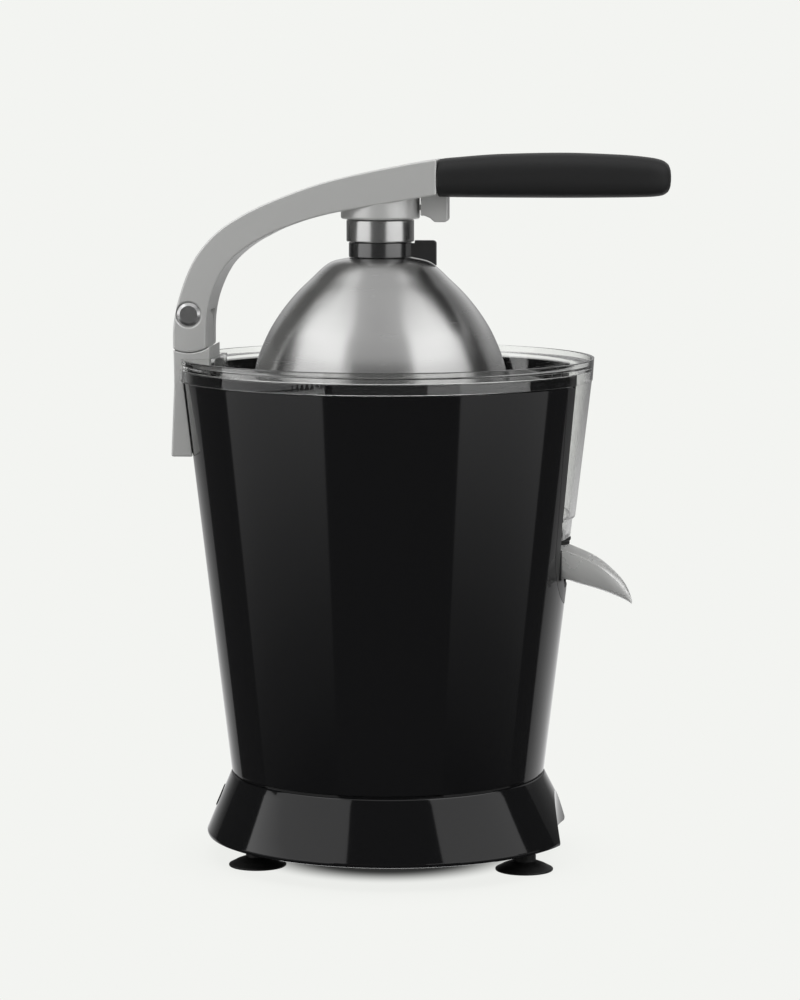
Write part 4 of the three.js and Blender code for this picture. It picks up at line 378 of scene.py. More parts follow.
def brushed(name, color, rough, aniso=0.8):
    """Metal brushed round an upright axis: the grain runs level, so reflections spread upwards."""
    mat = surfaced(name, color, rough, 1.0, scale=120.0, bump=0.002, spread=0.02, stretch=(0.3, 0.3, 8))
    tree = mat.node_tree
    shader = tree.nodes["Principled BSDF"]
    shader.inputs["Anisotropic"].default_value = aniso
    tangent = tree.nodes.new("ShaderNodeTangent")
    tangent.direction_type = "RADIAL"
    tangent.axis = "Z"
    shader.inputs["Anisotropic Rotation"].default_value = 0.25
    tree.links.new(tangent.outputs[0], shader.inputs["Tangent"])
    return mat


GLOSS = surfaced("gloss_black", (0.006, 0.006, 0.0065), 0.07, scale=160, bump=0.004, spread=0.015, IOR=1.5)
BLACK = surfaced("black_plastic", (0.012, 0.012, 0.0125), 0.32, scale=2500, bump=0.03, spread=0.08)
RINGBLACK = surfaced(
    "ring_black", (0.004, 0.004, 0.0045), 0.24, scale=2500, bump=0.01, spread=0.05,
    IOR=1.9, Coat_Weight=1.0, Coat_Roughness=0.15)
SOFT = surfaced(
    "soft_touch", (0.015, 0.015, 0.0155), 0.55, scale=5200, bump=0.06, spread=0.08, Specular_IOR_Level=0.24)
RUBBER = surfaced("rubber", (0.008, 0.008, 0.008), 0.55, scale=2600, bump=0.05, spread=0.1)
CAST = surfaced("cast_metal", (0.62, 0.62, 0.615), 0.38, 0.5, scale=2400, bump=0.1, spread=0.16)
ROUGHCAST = surfaced("rough_cast", (0.6, 0.6, 0.595), 0.45, 0.5, scale=1500, bump=0.25, spread=0.2)
STEEL = brushed("brushed_steel", (0.52, 0.52, 0.515), 0.27)
SPOUTSTEEL = surfaced("spout_steel", (0.84, 0.84, 0.835), 0.27, 0.45, scale=90, bump=0.001, spread=0.04)
POLISHED = surfaced("polished_steel", (0.55, 0.55, 0.545), 0.24, 1.0, scale=700, bump=0.01)
PINSTEEL = surfaced("pin_steel", (0.66, 0.66, 0.66), 0.26, 1.0, scale=300, bump=0.003, spread=0.04)
DARKSTEEL = surfaced("dark_steel", (0.15, 0.15, 0.16), 0.35, 1.0, bump=0.03, spread=0.06)
WHITE = surfaced("white_plastic", (0.7, 0.68, 0.62), 0.45, scale=1500)
BRASS = surfaced("brass", (0.55, 0.38, 0.13), 0.3, 1.0)
COPPER = surfaced("copper", (0.42, 0.16, 0.07), 0.35, 0.9, scale=1800, bump=0.2, spread=0.1)


def clear_plastic():
    """Clear plastic that lets the lamps' light through as a pale tint in place of a hard shadow."""
    mat = principled("clear_plastic", (0.97, 0.975, 0.965), 0.03, Transmission_Weight=1.0, IOR=1.46)
    tree = mat.node_tree
    path = tree.nodes.new("ShaderNodeLightPath")
    tint = plain_shader(tree, "ShaderNodeBsdfTransparent", (0.86, 0.87, 0.86))
    surface = mixed(tree, path.outputs["Is Shadow Ray"], tree.nodes["Principled BSDF"].outputs[0], tint)
    tree.links.new(surface, tree.nodes["Material Output"].inputs["Surface"])
    return mat


CLEAR = clear_plastic()

SLOTS = {
    "gloss_black": GLOSS, "black_plastic": BLACK, "soft_touch": SOFT, "rubber": RUBBER,
    "cast_metal": CAST, "brushed_steel": STEEL, "dark_steel": DARKSTEEL, "clear_plastic": CLEAR,
    "white_plastic": WHITE, "brass": BRASS, "copper": COPPER,
}
for part in frame["record"]["subparts"]:
    node = frame["nodes"].get(part["node"])
    if node is not None:
        node.data.materials.clear()
        node.data.materials.append(SLOTS[part["material_slot"]])


def finish_piece(obj, mat, body, slot_name, *nodes):
    """Gives a piece its material and normals, hangs it on the body it rides on, and hides the frame's nodes
    that it stands for.
    """
    obj.data.materials.clear()
    obj.data.materials.append(mat)
    obj.data.polygons.foreach_set("material_index", [0] * len(obj.data.polygons))
    weigh = obj.modifiers.new("weigh", "WEIGHTED_NORMAL")
    weigh.mode = "FACE_AREA"
    weigh.weight = 70
    weigh.keep_sharp = True
    settle(obj)
    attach(obj, body)
    if nodes:
        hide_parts(*nodes)
    return obj


# Housing and deck

WALL = 1.6
TUB_INSET, TUB_WALL = 1.9, 2.2
BOWL_INSET, BOWL_WALL = 4.7, 2.2
HOUSING_TOP = 231.3
DECK_SEAT, DECK_TOP = 231.6, 236.9
RIM_RADIUS = 97.5
# Cutting shapes run this far out past the front of the press
PAST_FRONT = 120


def rod(name, radius, low, high, x=0, y=0, sides=SMALL, axis="Z", z=0):
    """A plain round bar or bore between two places along its axis."""
    return turned(name, [(0, low), (radius, low), (radius, high), (0, high)], x, y, sides, axis=axis, z0=z)


def cone_profile(offset, low, high):
    return [(0, low), (body_radius(low) + offset, low), (body_radius(high) + offset, high), (0, high)]


def cone_solid(name, offset, low, high):
    """The housing's own cone, grown by an offset, between two heights."""
    return turned(name, cone_profile(offset, low, high), sides=LARGE)


SLOT_ROUND, SLOT_HALF, SLOT_ROUND_Z, SLOT_TOP = 34, 43.2 + 9.2 / 73.4 * 4, 157.9, 235.3


def slot_outline(grow):
    """The housing's front opening in y and z: slanted sides over a round foot."""
    half = SLOT_HALF + grow
    return [(half, SLOT_TOP), (-half, SLOT_TOP)] + arc(0, SLOT_ROUND_Z, SLOT_ROUND + grow, 180, 360, 48)


CHUTE_FOOT, CHUTE_HALF, CHUTE_FLARE = 166.5, 29.8, 5.5 / 65.4


def chute_half(z):
    return CHUTE_HALF + CHUTE_FLARE * (z - CHUTE_FOOT)


def chute_outline(grow, bottom, top):
    """The clear chute's front in y and z, a little wider at its top."""
    return [
        (chute_half(top) + grow, top), (-chute_half(top) - grow, top),
        (-chute_half(bottom) - grow, bottom), (chute_half(bottom) + grow, bottom),
    ]


housing = turned("housing_fine", fillet([
    (FOOT_RADIUS, FOOT_Z, 0.45), (FOOT_RADIUS + FLARE, HOUSING_TOP, 0.12),
    (FOOT_RADIUS + FLARE - WALL, HOUSING_TOP, 0.3), (FOOT_RADIUS - WALL, FOOT_Z, 0.3),
]), sides=LARGE)
cut(housing, prism("slot_tool", slot_outline(0), 30, PAST_FRONT, "X"))
finish_piece(housing, GLOSS, "press_body", "gloss_black", "housing_shell")

deck = turned("deck_fine", fillet([
    (8.3, 173.6, 0), (body_radius(173.6) - TUB_INSET, 173.6, 0.3),
    (body_radius(DECK_SEAT) - TUB_INSET, DECK_SEAT, 0),
    (RIM_RADIUS, DECK_SEAT, 0.5), (RIM_RADIUS, DECK_TOP, 0.9),
    (body_radius(DECK_TOP) - TUB_INSET - TUB_WALL, DECK_TOP, 0.6),
    (body_radius(176) - TUB_INSET - TUB_WALL, 176, 0.8), (11.3, 176, 0.5), (11.3, 204, 0.3), (8.3, 204, 0.3),
]), sides=LARGE)
low_cut = prism("low_tool", slot_outline(3.3), 69.6, PAST_FRONT, "X")
keep(low_cut, slab("low_room", (0, -120, 0), (130, 120, HOUSING_TOP)))
cut(deck, low_cut)
rim_opening = [(y, z, 3.5) if z < 200 else (y, z) for y, z in chute_outline(0.6, CHUTE_FOOT, 243)]
cut(deck, prism("rim_tool", fillet(rim_opening), 69.6, PAST_FRONT, "X"))
cut(deck, slab("notch_tool", (-120, -19.3, HOUSING_TOP), (-83.5, 19.3, 243)))
finish_piece(deck, GLOSS, "press_body", "gloss_black", "inner_deck")

# Skirt, feet and cord gland

# The skirt's half length and half width at its foot, how much they draw in towards the round top,
# how far the longer foot leads to the front, and the heights between which the flank slants
SKIRT_LONG, SKIRT_WIDE = 89.5, 87.2
SKIRT_LONG_DRAWN, SKIRT_WIDE_DRAWN = 13.5, 11.2
SKIRT_LEAD = 1.5
FLANK_Z, FLANK_RISE = 12.8, 28.6
SCALLOP_X, SCALLOP_RADIUS = 81.2, 125
GLAND_Z = 26


def oval_ring(x, along, across, z, sides=LARGE):
    """An oval of points round an upright axis."""
    turns = [math.tau * (i + 0.5) / sides for i in range(sides)]
    return [(x + along * math.cos(turn), across * math.sin(turn), z) for turn in turns]


def skirt_ring(z, inset):
    share = min(max((z - FLANK_Z) / FLANK_RISE, 0), 1)
    along = SKIRT_LONG - SKIRT_LONG_DRAWN * share - inset
    across = SKIRT_WIDE - SKIRT_WIDE_DRAWN * share - inset
    return oval_ring(SKIRT_LEAD * (1 - share), along, across, z)


def scallop_tool(name, grow, bottom, top):
    """The wide round that is scooped out of the skirt's front."""
    return rod(name, SCALLOP_RADIUS + grow, bottom, top, SCALLOP_X + SCALLOP_RADIUS, sides=512)


skirt_rows = [(11.0, 0.9), (11.25, 0.3), (11.9, 0)] + [(z, 0) for z in (12.6, 13.0, 20, 30, 38, 40.7)]
skirt_rows += [(41.15, 0.12), (41.35, 0.4), (41.4, 0.75)]
skirt = loft("skirt_fine", [skirt_ring(z, inset) for z, inset in skirt_rows], angle=25)
cut(skirt, scallop_tool("scallop", 0, -4, 41.2))
soften(skirt, 0.8, 3, 38, 25)
neck = turned("neck", [(0, 38.8), (75, 38.8), (75, 42.3), (74, 42.3), (74, 50.6), (0, 50.6)], sides=LARGE)
join(skirt, neck, angle=25)
hollow = loft("hollow", [skirt_ring(z, 2.6) for z in (7, FLANK_Z, 36.2)]
              + [oval_ring(0, 71.4, 71.4, z) for z in (41.4, 54.6)])
cut(hollow, scallop_tool("scallop_in", 2.6, -8, 48))
cut(skirt, hollow, rod("gland_hole", 6.8, -95, -70, axis="X", z=GLAND_Z), angle=25)
finish_piece(skirt, GLOSS, "press_body", "gloss_black", "base_skirt")

FOOT_PROFILE = fillet([
    (0, 1.6), (12.4, 0.0, 0.2), (13.8, 0.0, 0.4), (13.8, 0.9, 0.5), (9.8, 3.0, 3), (5.6, 4.6, 1.2),
    (5.6, 9.0, 0.4), (7.4, 9.0, 0.5), (7.4, 12.2, 0.3), (3.2, 12.2, 0), (3.2, 15.8, 0), (5, 15.8, 0.3),
    (3.2, 18.4, 0.6), (0, 18.4),
])
for number, (x, y) in enumerate([(68, -34), (68, 34), (-60, -34), (-60, 34)], 1):
    foot = turned(f"foot_{number}_fine", FOOT_PROFILE, x, y, sides=MIDDLE)
    finish_piece(foot, RUBBER, "press_body", "rubber", f"suction_foot_{number}")

gland = turned("gland_fine", fillet([
    (3.6, -91.2, 0.3), (4.6, -91.2, 0.5), (6.5, -89.2, 0.5), (6.5, -80, 0), (8.4, -80, 0.3),
    (8.4, -78, 0.3), (3.6, -78, 0.2),
]), axis="X", z0=GLAND_Z, sides=MIDDLE)
gland_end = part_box("cord_gland")[0][0]
gland_shift = gland_end - min(corner.co.x for corner in gland.data.vertices)
gland.data.transform(Matrix.Translation((gland_shift, 0, 0)))
keep(gland, loft("gland_trim", [skirt_ring(z, -0.5) for z in (8, FLANK_Z, 41.4)]))
finish_piece(gland, RUBBER, "press_body", "rubber", "cord_gland")

# Clear bowl, its seal and the sieve

BOWL_TOP, BOWL_LEDGE, SKIRTING_Z = 242.3, 239.4, 231.9
OUTLET_X = 79.4


def outside(z):
    return body_radius(z) - BOWL_INSET


def inside(z):
    return outside(z) - BOWL_WALL


bowl = turned("bowl_fine", fillet([
    (11.9, 183.6, 0), (outside(178.6), 178.6, 2), (outside(237.2), 237.2, 0.5), (98.1, 237.2, 0.4),
    (98.1, SKIRTING_Z, 0.12), (100.3, SKIRTING_Z, 0.12), (99.8, BOWL_TOP, 0.5), (97.8, BOWL_TOP, 0.5),
    (97.4, BOWL_LEDGE, 0.6), (inside(BOWL_LEDGE), BOWL_LEDGE, 0.8), (inside(180.8), 180.8, 3),
    (16.5, 185.8, 1.5), (16.5, 193.8, 0.4), (14, 193.8, 0.3), (14, 205.8, 0.6), (11.9, 205.8, 0.4),
]), sides=LARGE)
# Trims the rim flush with the chute at the front
keep(bowl, turned("rim_trim", [
    (0, 140), (99.6, 140), (99.6, SKIRTING_Z), (100.3, BOWL_TOP), (100.3, 245), (0, 245),
], -1.2, sides=LARGE))
cavity = turned("cavity", [
    (16.5, 186.2), (inside(181.6), 181.6), (inside(BOWL_LEDGE), BOWL_LEDGE),
    (97.4, 240.2), (97.8, 246), (16.5, 246),
], sides=LARGE)
chute = prism("chute", chute_outline(0, CHUTE_FOOT, 238.2), 70.8, PAST_FRONT, "X")
keep(chute, cone_solid("chute_cone", 0, CHUTE_FOOT, 238.2))
cut(chute, cavity)
funnel = prism("funnel", [(28.6, 168.7), (-28.6, 168.7), (-23, 157), (23, 157)], 70.8, PAST_FRONT, "X")
keep(funnel, cone_solid("funnel_cone", -1.2, 157, 168.7))
join(bowl, chute, funnel, rod("spigot", 7.4, 151.8, 158, OUTLET_X))
chute_hollow = prism("chute_hollow", chute_outline(-BOWL_WALL, 167.6, 237.2), 73, PAST_FRONT, "X")
keep(chute_hollow, cone_solid("chute_hollow_cone", -BOWL_WALL, 167.6, 236.9))
funnel_hollow = prism(
    "funnel_hollow", [(26.4, 168.8), (-26.4, 168.8), (-20.8, 159.2), (20.8, 159.2)], 73, PAST_FRONT, "X")
keep(funnel_hollow, cone_solid("funnel_hollow_cone", -3.4, 159.2, 168.8))
cut(bowl, chute_hollow, funnel_hollow, rod("outlet", 5.6, 140, 162, OUTLET_X))
walls = slab("pocket_walls", (-96, -22.1, 228.8), (-80.7, 22.1, BOWL_TOP))
keep(walls, turned("pocket_round", [
    (0, 228), (outside(228), 228), (outside(237.2), 237.2),
    (98.5, 237.2), (98.5, BOWL_TOP), (0, BOWL_TOP),
], sides=LARGE))
join(bowl, walls)
cut(bowl, slab("pocket", (-120, -19.9, 231.0), (-82.9, 19.9, 250)))
finish_piece(bowl, CLEAR, "press_body", "clear_plastic", "juice_bowl")

seal = turned("outlet_seal_fine", fillet([
    (7.5, 152.6, 0.3), (8.4, 152.6, 0.4), (8.4, 154.2, 0.3),
    (9.0, 155.0, 0.3), (9.0, 156.2, 0.5), (7.5, 156.6, 0.2),
]), OUTLET_X, sides=MIDDLE)
finish_piece(seal, RUBBER, "press_body", "rubber", "outlet_seal")

SIEVE_TOP = 226.5
SIEVE_SLOTS = 16
sieve_radius = body_radius(SIEVE_TOP) - BOWL_INSET - BOWL_WALL - 4
sieve = turned("sieve_fine", fillet([
    (14.4, 194.1, 0.2), (56, 194.1, 4), (sieve_radius - 2.4, 225.1, 0.8), (sieve_radius, 225.1, 0.4),
    (sieve_radius, SIEVE_TOP, 0.5), (sieve_radius - 3.8, SIEVE_TOP, 1.5),
    (54.6, 195.5, 3.4), (14.4, 195.5, 0.2),
]), sides=192)
slot = fillet([(24, -0.8, 0.75), (52, -0.8, 0.75), (52, 0.8, 0.75), (24, 0.8, 0.75)])
slots = []
for i in range(SIEVE_SLOTS):
    turn = math.tau * (i + 0.5) / SIEVE_SLOTS
    c, s = math.cos(turn), math.sin(turn)
    slots.append(prism(f"sieve_slot_{i}", [(x * c - y * s, x * s + y * c) for x, y in slot], 190, 200, "Z"))
bpy.ops.object.select_all(action="DESELECT")
for item in slots:
    item.select_set(True)
bpy.context.view_layer.objects.active = slots[0]
bpy.ops.object.join()
cut(sieve, slots[0])
finish_piece(sieve, STEEL, "press_body", "brushed_steel", "sieve")

# Reamer

REAMER_RADIUS, REAMER_FOOT, REAMER_HEIGHT = 37, 203.3, 51.6
# How many ribs it has, how deep they are as a share of its radius, and how close its tip comes to a point
RIBS, RIB_DEPTH, TIP_SHARE = 8, 0.075, 0.985
REAMER_ROWS, REAMER_SIDES = 40, 160


def reamer_ring(share):
    """One level of the ribbed cone, from its foot at nought to its tip at one."""
    radius = REAMER_RADIUS * math.sqrt(max(1 - (share * TIP_SHARE) ** 1.7, 0))
    depth = RIB_DEPTH * min(1, (1 - share) * 6 + 0.3)
    ring = []
    for j in range(REAMER_SIDES):
        turn = math.tau * j / REAMER_SIDES
        crest = abs(math.cos(turn * RIBS / 2)) ** 0.7 * 2 - 1
        reach = radius * (1 + depth * crest)
        z = REAMER_FOOT + REAMER_HEIGHT * share
        ring.append((reach * math.cos(turn), reach * math.sin(turn), z))
    return ring


reamer = loft("reamer_fine", [reamer_ring(i / REAMER_ROWS) for i in range(REAMER_ROWS + 1)], angle=40)
plinth = turned("reamer_foot", fillet([
    (0, 200.9), (39.5, 200.9, 0.5), (39.5, 203.6, 1), (0, 203.6),
]), sides=128)
join(reamer, plinth, angle=40)
cut(reamer, rod("reamer_room", 15.4, 196, 210.9), angle=40)
finish_piece(reamer, BLACK, "spindle_unit", "black_plastic", "reamer")

# Lever bracket

PIN_X, PIN_Z = -93.9, 263.3
# Half the width of the bracket and of the arm, and of the bracket's tongue between the arm's cheeks
HALF_WIDTH, TONGUE_HALF = 19, 9.3
SHOULDER, TONGUE_ROUND, ARM_ROUND = 18.3, 7.3, 18.0
CAP_BACK = -100.9

shoulder_start = math.degrees(math.asin(10.1 / SHOULDER)) - 90
shoulder_end = -90 - math.degrees(math.asin(7.3 / SHOULDER))
block = prism(
    "bracket_fine",
    [(-101.0, 226.3), (-83.8, 226.3)] + arc(PIN_X, PIN_Z, SHOULDER, shoulder_start, shoulder_end, 16)
    + [(-101.0, 236.9)], -HALF_WIDTH, HALF_WIDTH)
soften(block, 0.9, 3, 40)
bracket_foot = prism(
    "bracket_foot", fillet([(-102.6, 195.2, 1), (-70.8, 195.2), (-70.8, DECK_SEAT), (CAP_BACK, DECK_SEAT)]),
    -HALF_WIDTH, HALF_WIDTH)
cut(bracket_foot, cone_solid("foot_cone", 0.3, 120, 242))
soften(bracket_foot, 0.8, 3, 40)
cut(block, cone_solid("block_cone", 0.3, 200, HOUSING_TOP))
cut(block, rod("block_rim", 99.6, 150, HOUSING_TOP, sides=LARGE))
tongue = prism("tongue", arc(PIN_X, PIN_Z, TONGUE_ROUND, 0, 180, 24) + [
    (PIN_X - TONGUE_ROUND, PIN_Z - 22), (PIN_X + 8.3, PIN_Z - 20),
    (PIN_X + 8.3, PIN_Z - 1.6), (PIN_X + TONGUE_ROUND, PIN_Z),
], -TONGUE_HALF, TONGUE_HALF)
soften(tongue, 0.4, 2, 40)
join(block, slab("bracket_cap", (CAP_BACK, -18.2, DECK_SEAT), (-84.6, 18.2, 233)), bracket_foot, tongue)
cut(block, rod("bush_hole", 5.55, -20, 20, PIN_X, axis="Y", z=PIN_Z))
finish_piece(block, ROUGHCAST, "press_body", "cast_metal", "lever_bracket")

# Lever arm with its pin

# The arm's outer and inner sides in x and z, as the photo shows them
ARM_OUT = [
    (-101.4, 254.0), (-101.1, 258.5), (-100.4, 262.8), (-99.2, 268.4), (-97.4, 274.6),
    (-94.9, 281.5), (-91.6, 288.5), (-87.9, 294.1), (-82.3, 300.5), (-76.0, 305.7),
    (-67.5, 310.9), (-61.7, 313.9), (-55.3, 316.8), (-47.5, 319.9), (-39.2, 323),
    (-28.5, 326.4), (-15.8, 329.6), (0.6, 333.0), (12, 335.2), (24.5, 337.2),
]
ARM_IN = [
    (24.5, 320.3), (15.6, 318.8), (5.6, 317.1), (-10, 314.4), (-26.2, 311.4), (-36.7, 308.6),
    (-45.3, 305.7), (-52.5, 302.9), (-58.2, 300), (-63.5, 297.1), (-70.5, 292.0), (-75.5, 287.0),
    (-78.9, 281.8), (-81.5, 276.2), (-83.4, 270.8), (-84.7, 265.2), (-85.4, 259.6), (-85.6, 254.0),
]
DOME_X = -3.6
FORK_ROOM, FORK_REACH = 7.65, 38
FORK_LOW_TURN, FORK_HIGH_TURN = 14, 105


def arm_outline():
    start = -math.degrees(math.acos(8.3 / ARM_ROUND))
    end = -180 + math.degrees(math.acos(7.5 / ARM_ROUND))
    return spline(ARM_OUT, 5) + spline(ARM_IN, 5) + arc(PIN_X, PIN_Z, ARM_ROUND, start, end, 20)


def trigger_rooms(owner):
    """The slots for the trigger's finger piece and for its rail."""
    return (
        slab(owner + "_trigger_room", (15.8, -7.9, 307.2), (32.8, 7.9, 322.2)),
        slab(owner + "_rail_room", (15.8, -9.5, 320.2), (32.8, 9.5, 322.6)),
    )


arm = prism("arm_fine", arm_outline(), -HALF_WIDTH, HALF_WIDTH)
soften(arm, 1.5, 4, 50)
boss = turned("boss", fillet([(0, 308.5), (18.9, 308.5, 1.2), (18.9, 325), (0, 325)], 6), DOME_X, sides=160)
tang = slab("tang", (20.8, -11, 324.6), (94.8, 11, 332.6))
join(arm, boss, rod("boss_spigot", 12, 300.5, 310, DOME_X, sides=MIDDLE), tang)
back = math.radians(FORK_HIGH_TURN)
fork = prism("fork", arc(PIN_X, PIN_Z, FORK_ROOM, FORK_LOW_TURN, FORK_HIGH_TURN, 16) + [
    (PIN_X + FORK_ROOM * math.cos(back) - FORK_REACH * math.sin(back),
     PIN_Z + FORK_ROOM * math.sin(back) + FORK_REACH * math.cos(back)),
    (PIN_X - FORK_REACH, PIN_Z - FORK_REACH), (PIN_X + FORK_REACH, PIN_Z - FORK_REACH),
    (PIN_X + FORK_REACH, PIN_Z + FORK_ROOM * math.sin(math.radians(FORK_LOW_TURN))),
], -9.65, 9.65)
pin_bore = turned("pin_bore", [
    (0, -25), (6.7, -25), (6.7, -19), (6.1, -18.4), (6.1, -16.4), (4.15, -16.4),
    (4.15, 16.4), (6.1, 16.4), (6.1, 18.4), (6.7, 19), (6.7, 25), (0, 25),
], PIN_X, sides=MIDDLE, axis="Y", z0=PIN_Z)
stem_bore = turned("stem_bore", [
    (0, 290), (8, 290), (8, 309.1), (11, 309.1), (11, 317.5), (0, 317.5),
], DOME_X, sides=MIDDLE)
nose_room = slab("nose_room", (0.6, -2.9, 312.3), (20.2, 2.9, 315.7))
cut(arm, fork, pin_bore, stem_bore, *trigger_rooms("arm"), nose_room)
finish_piece(arm, CAST, "lever", "cast_metal", "lever_arm")

# The pin's head faces the camera and its cap the other way
for name, node, facing, shaft, end in (
    ("pin_fine", "pivot_pin", -1, 4, -15.8),
    ("cap_fine", "pivot_cap", 1, 2, 8.4),
):
    head = fillet([
        (0, 18.7), (4.2, 18.7, 0.12), (5.95, 17.9, 0.12), (5.95, 16.7, 0.12),
        (shaft, 16.7), (shaft, end), (0, end),
    ])
    pin = turned(
        name, [(radius, along * facing) for radius, along in head], PIN_X, sides=MIDDLE, axis="Y", z0=PIN_Z)
    if facing < 0:
        cut(pin, rod("pin_thread", 2.3, 8, 20, PIN_X, sides=48, axis="Y", z=PIN_Z))
    finish_piece(pin, PINSTEEL, "lever", "brushed_steel", node)

# Grip and trigger

GRIP_X = 24.8
# How far along the grip, its underside, its top and half its width
GRIP = [
    (0.0, 319.6, 336.6, 19.0), (0.6, 319.15, 337.1, 19.4), (8, 319.0, 337.9, 19.5),
    (30, 318.85, 339.5, 19.6), (58, 318.8, 340.1, 19.3), (86, 319.0, 339.2, 18.4),
    (100, 319.3, 337.9, 17.3), (105.6, 319.9, 336.7, 16.0), (108.6, 321.5, 334.8, 14.0),
    (109.9, 324.2, 332.0, 11.0), (110.2, 327.0, 329.4, 7.0),
]


def spline_rows(rows, per):
    """Smooth rows of values over the first value."""
    out = []
    for i in range(len(rows) - 1):
        for k in range(per):
            share = k / per
            x = rows[i][0] + (rows[i + 1][0] - rows[i][0]) * share
            out.append((x, *(between(rows, i, share, column) for column in range(1, len(rows[0])))))
    out.append(rows[-1])
    return out


def between(rows, i, t, column):
    """One column's value part of the way from a row to the next, without swinging past either."""
    def slope(j):
        if j <= 0 or j >= len(rows) - 1:
            first, last = (0, 1) if j <= 0 else (len(rows) - 2, len(rows) - 1)
            return (rows[last][column] - rows[first][column]) / (rows[last][0] - rows[first][0])
        left = (rows[j][column] - rows[j - 1][column]) / (rows[j][0] - rows[j - 1][0])
        right = (rows[j + 1][column] - rows[j][column]) / (rows[j + 1][0] - rows[j][0])
        if left * right <= 0:
            return 0
        return 2 * left * right / (left + right)
    width = rows[i + 1][0] - rows[i][0]
    a, b = 2 * t**3 - 3 * t**2 + 1, t**3 - 2 * t**2 + t
    c, d = -2 * t**3 + 3 * t**2, t**3 - t**2
    return (a * rows[i][column] + b * width * slope(i)
            + c * rows[i + 1][column] + d * width * slope(i + 1))


def cushion_ring(x, low, high, half, power=3.4, count=96):
    """A round-cornered oblong, from a low to a high edge."""
    ring = []
    for i in range(count):
        turn = math.tau * (i + 0.5) / count
        c, s = math.cos(turn), math.sin(turn)
        y = half * math.copysign(abs(c) ** (2 / power), c)
        z = (high + low) / 2 + (high - low) / 2 * math.copysign(abs(s) ** (2 / power), s)
        ring.append((x, y, z))
    return ring


grip = loft("grip_fine", [cushion_ring(GRIP_X + row[0], *row[1:]) for row in spline_rows(GRIP, 8)], angle=50)
cut(grip, slab("tang_room", (20.8, -11.3, 324.3), (95.1, 11.3, 332.9)), *trigger_rooms("grip"), angle=50)
finish_piece(grip, SOFT, "lever", "soft_touch", "grip")

trigger = prism("trigger_fine", fillet([
    (16.2, 322.2), (16.2, 310.1, 0.8), (17.8, 310.3, 1.0), (20.6, 309.2, 2.0),
    (22.9, 307.2, 1.2), (29.2, 307.2, 1.8), (29.2, 322.2),
], 6), -7.5, 7.5)
soften(trigger, 0.7, 3, 50)
trigger_rail = slab("trigger_rail", (16.2, -9.1, 320.6), (29.2, 9.1, 322.2))
join(trigger, trigger_rail, slab("trigger_nose", (2.6, -2.5, 312.7), (20.2, 2.5, 315.3)))
finish_piece(trigger, CAST, "trigger", "cast_metal", "release_trigger")

# Collar, dome and ring

collar = turned("collar_fine", fillet([
    (12.3, 297.7, 0.2), (16.2, 297.7, 0.6), (16.2, 308.2, 0.6), (12.3, 308.2, 0.2),
]), DOME_X)
finish_piece(collar, POLISHED, "lever", "cast_metal", "collar")

DOME_SIDE = [
    (15.1, 290.0), (24.1, 287.7), (33.9, 279.2), (39.7, 273.6), (45.1, 267.3), (49.3, 261.5),
    (52.8, 255.8), (55.8, 249.6), (58.4, 243.2), (60.6, 235.6), (62.2, 228.6),
]
DOME_THICK, DOME_HEM = 1.2, 228.6
TAB_X = DOME_X + 27


def dome_side(depth):
    """The dome's outer side, moved inwards by a depth."""
    line = spline(DOME_SIDE, 8)
    out = []
    for i, (radius, z) in enumerate(line):
        before, after = Vector(line[max(i - 1, 0)]), Vector(line[min(i + 1, len(line) - 1)])
        way = (after - before).normalized()
        out.append((radius + way.y * depth, z - way.x * depth))
    return out


over = dome_side(0)
under = [(radius, max(z, DOME_HEM)) for radius, z in reversed(dome_side(DOME_THICK))]
dome = turned(
    "dome_fine", [(5.3, 290.0)] + over + [(61.6, 228.2)] + under + [(5.3, 288.8)], DOME_X, sides=LARGE)
finish_piece(dome, STEEL, "dome_unit", "brushed_steel", "dome")

ring = turned("ring_fine", fillet([(0, 290.3), (15.1, 290.3, 0.4), (15.1, 297.4, 0.4), (0, 297.4)]), DOME_X)
tab = prism("tab", fillet([
    (DOME_X, 291), (DOME_X + 15, 290.3), (DOME_X + 20, 289.4), (TAB_X, 285.9, 0.4),
    (TAB_X, 298.4, 1.6), (DOME_X + 16.6, 298.4, 0.4), (DOME_X + 16.6, 297.0, 0.3), (DOME_X, 297.0),
]), -2, 2)
soften(tab, 0.35, 2, 50)
join(ring, tab)
guard = turned(
    "tab_guard", [(0, 290.3)] + [(radius + 0.3, z + 0.3) for radius, z in over] + [(0, 228)], DOME_X)
cut(ring, guard, rod("ring_bore", 7.9, 280, 300, DOME_X, sides=MIDDLE))
finish_piece(ring, RINGBLACK, "dome_unit", "black_plastic", "dome_ring")

# Spout, its block and the bezel

SPOUT_X = 77.4
# How far along the spout, its rim, its keel and half its width
SPOUT_ROWS = [
    (0, 151.4, 136.5, 14.7), (7, 151.3, 135.8, 14.7), (14.35, 148.9, 133.7, 14.7), (20.5, 146.2, 132.0, 14.7),
    (25.8, 143.0, 130.4, 14.6), (30.3, 139.3, 128.8, 14.2), (34.4, 135.4, 127.1, 12.9),
    (37.3, 131.8, 125.8, 10.9), (39.4, 128.0, 124.6, 7.6), (40.6, 124.9, 123.8, 3.6),
]
TILT_X, TILT_Z = 77.5, 143.0
BASIN_HALF = 13.5
EAR_RADIUS = 6


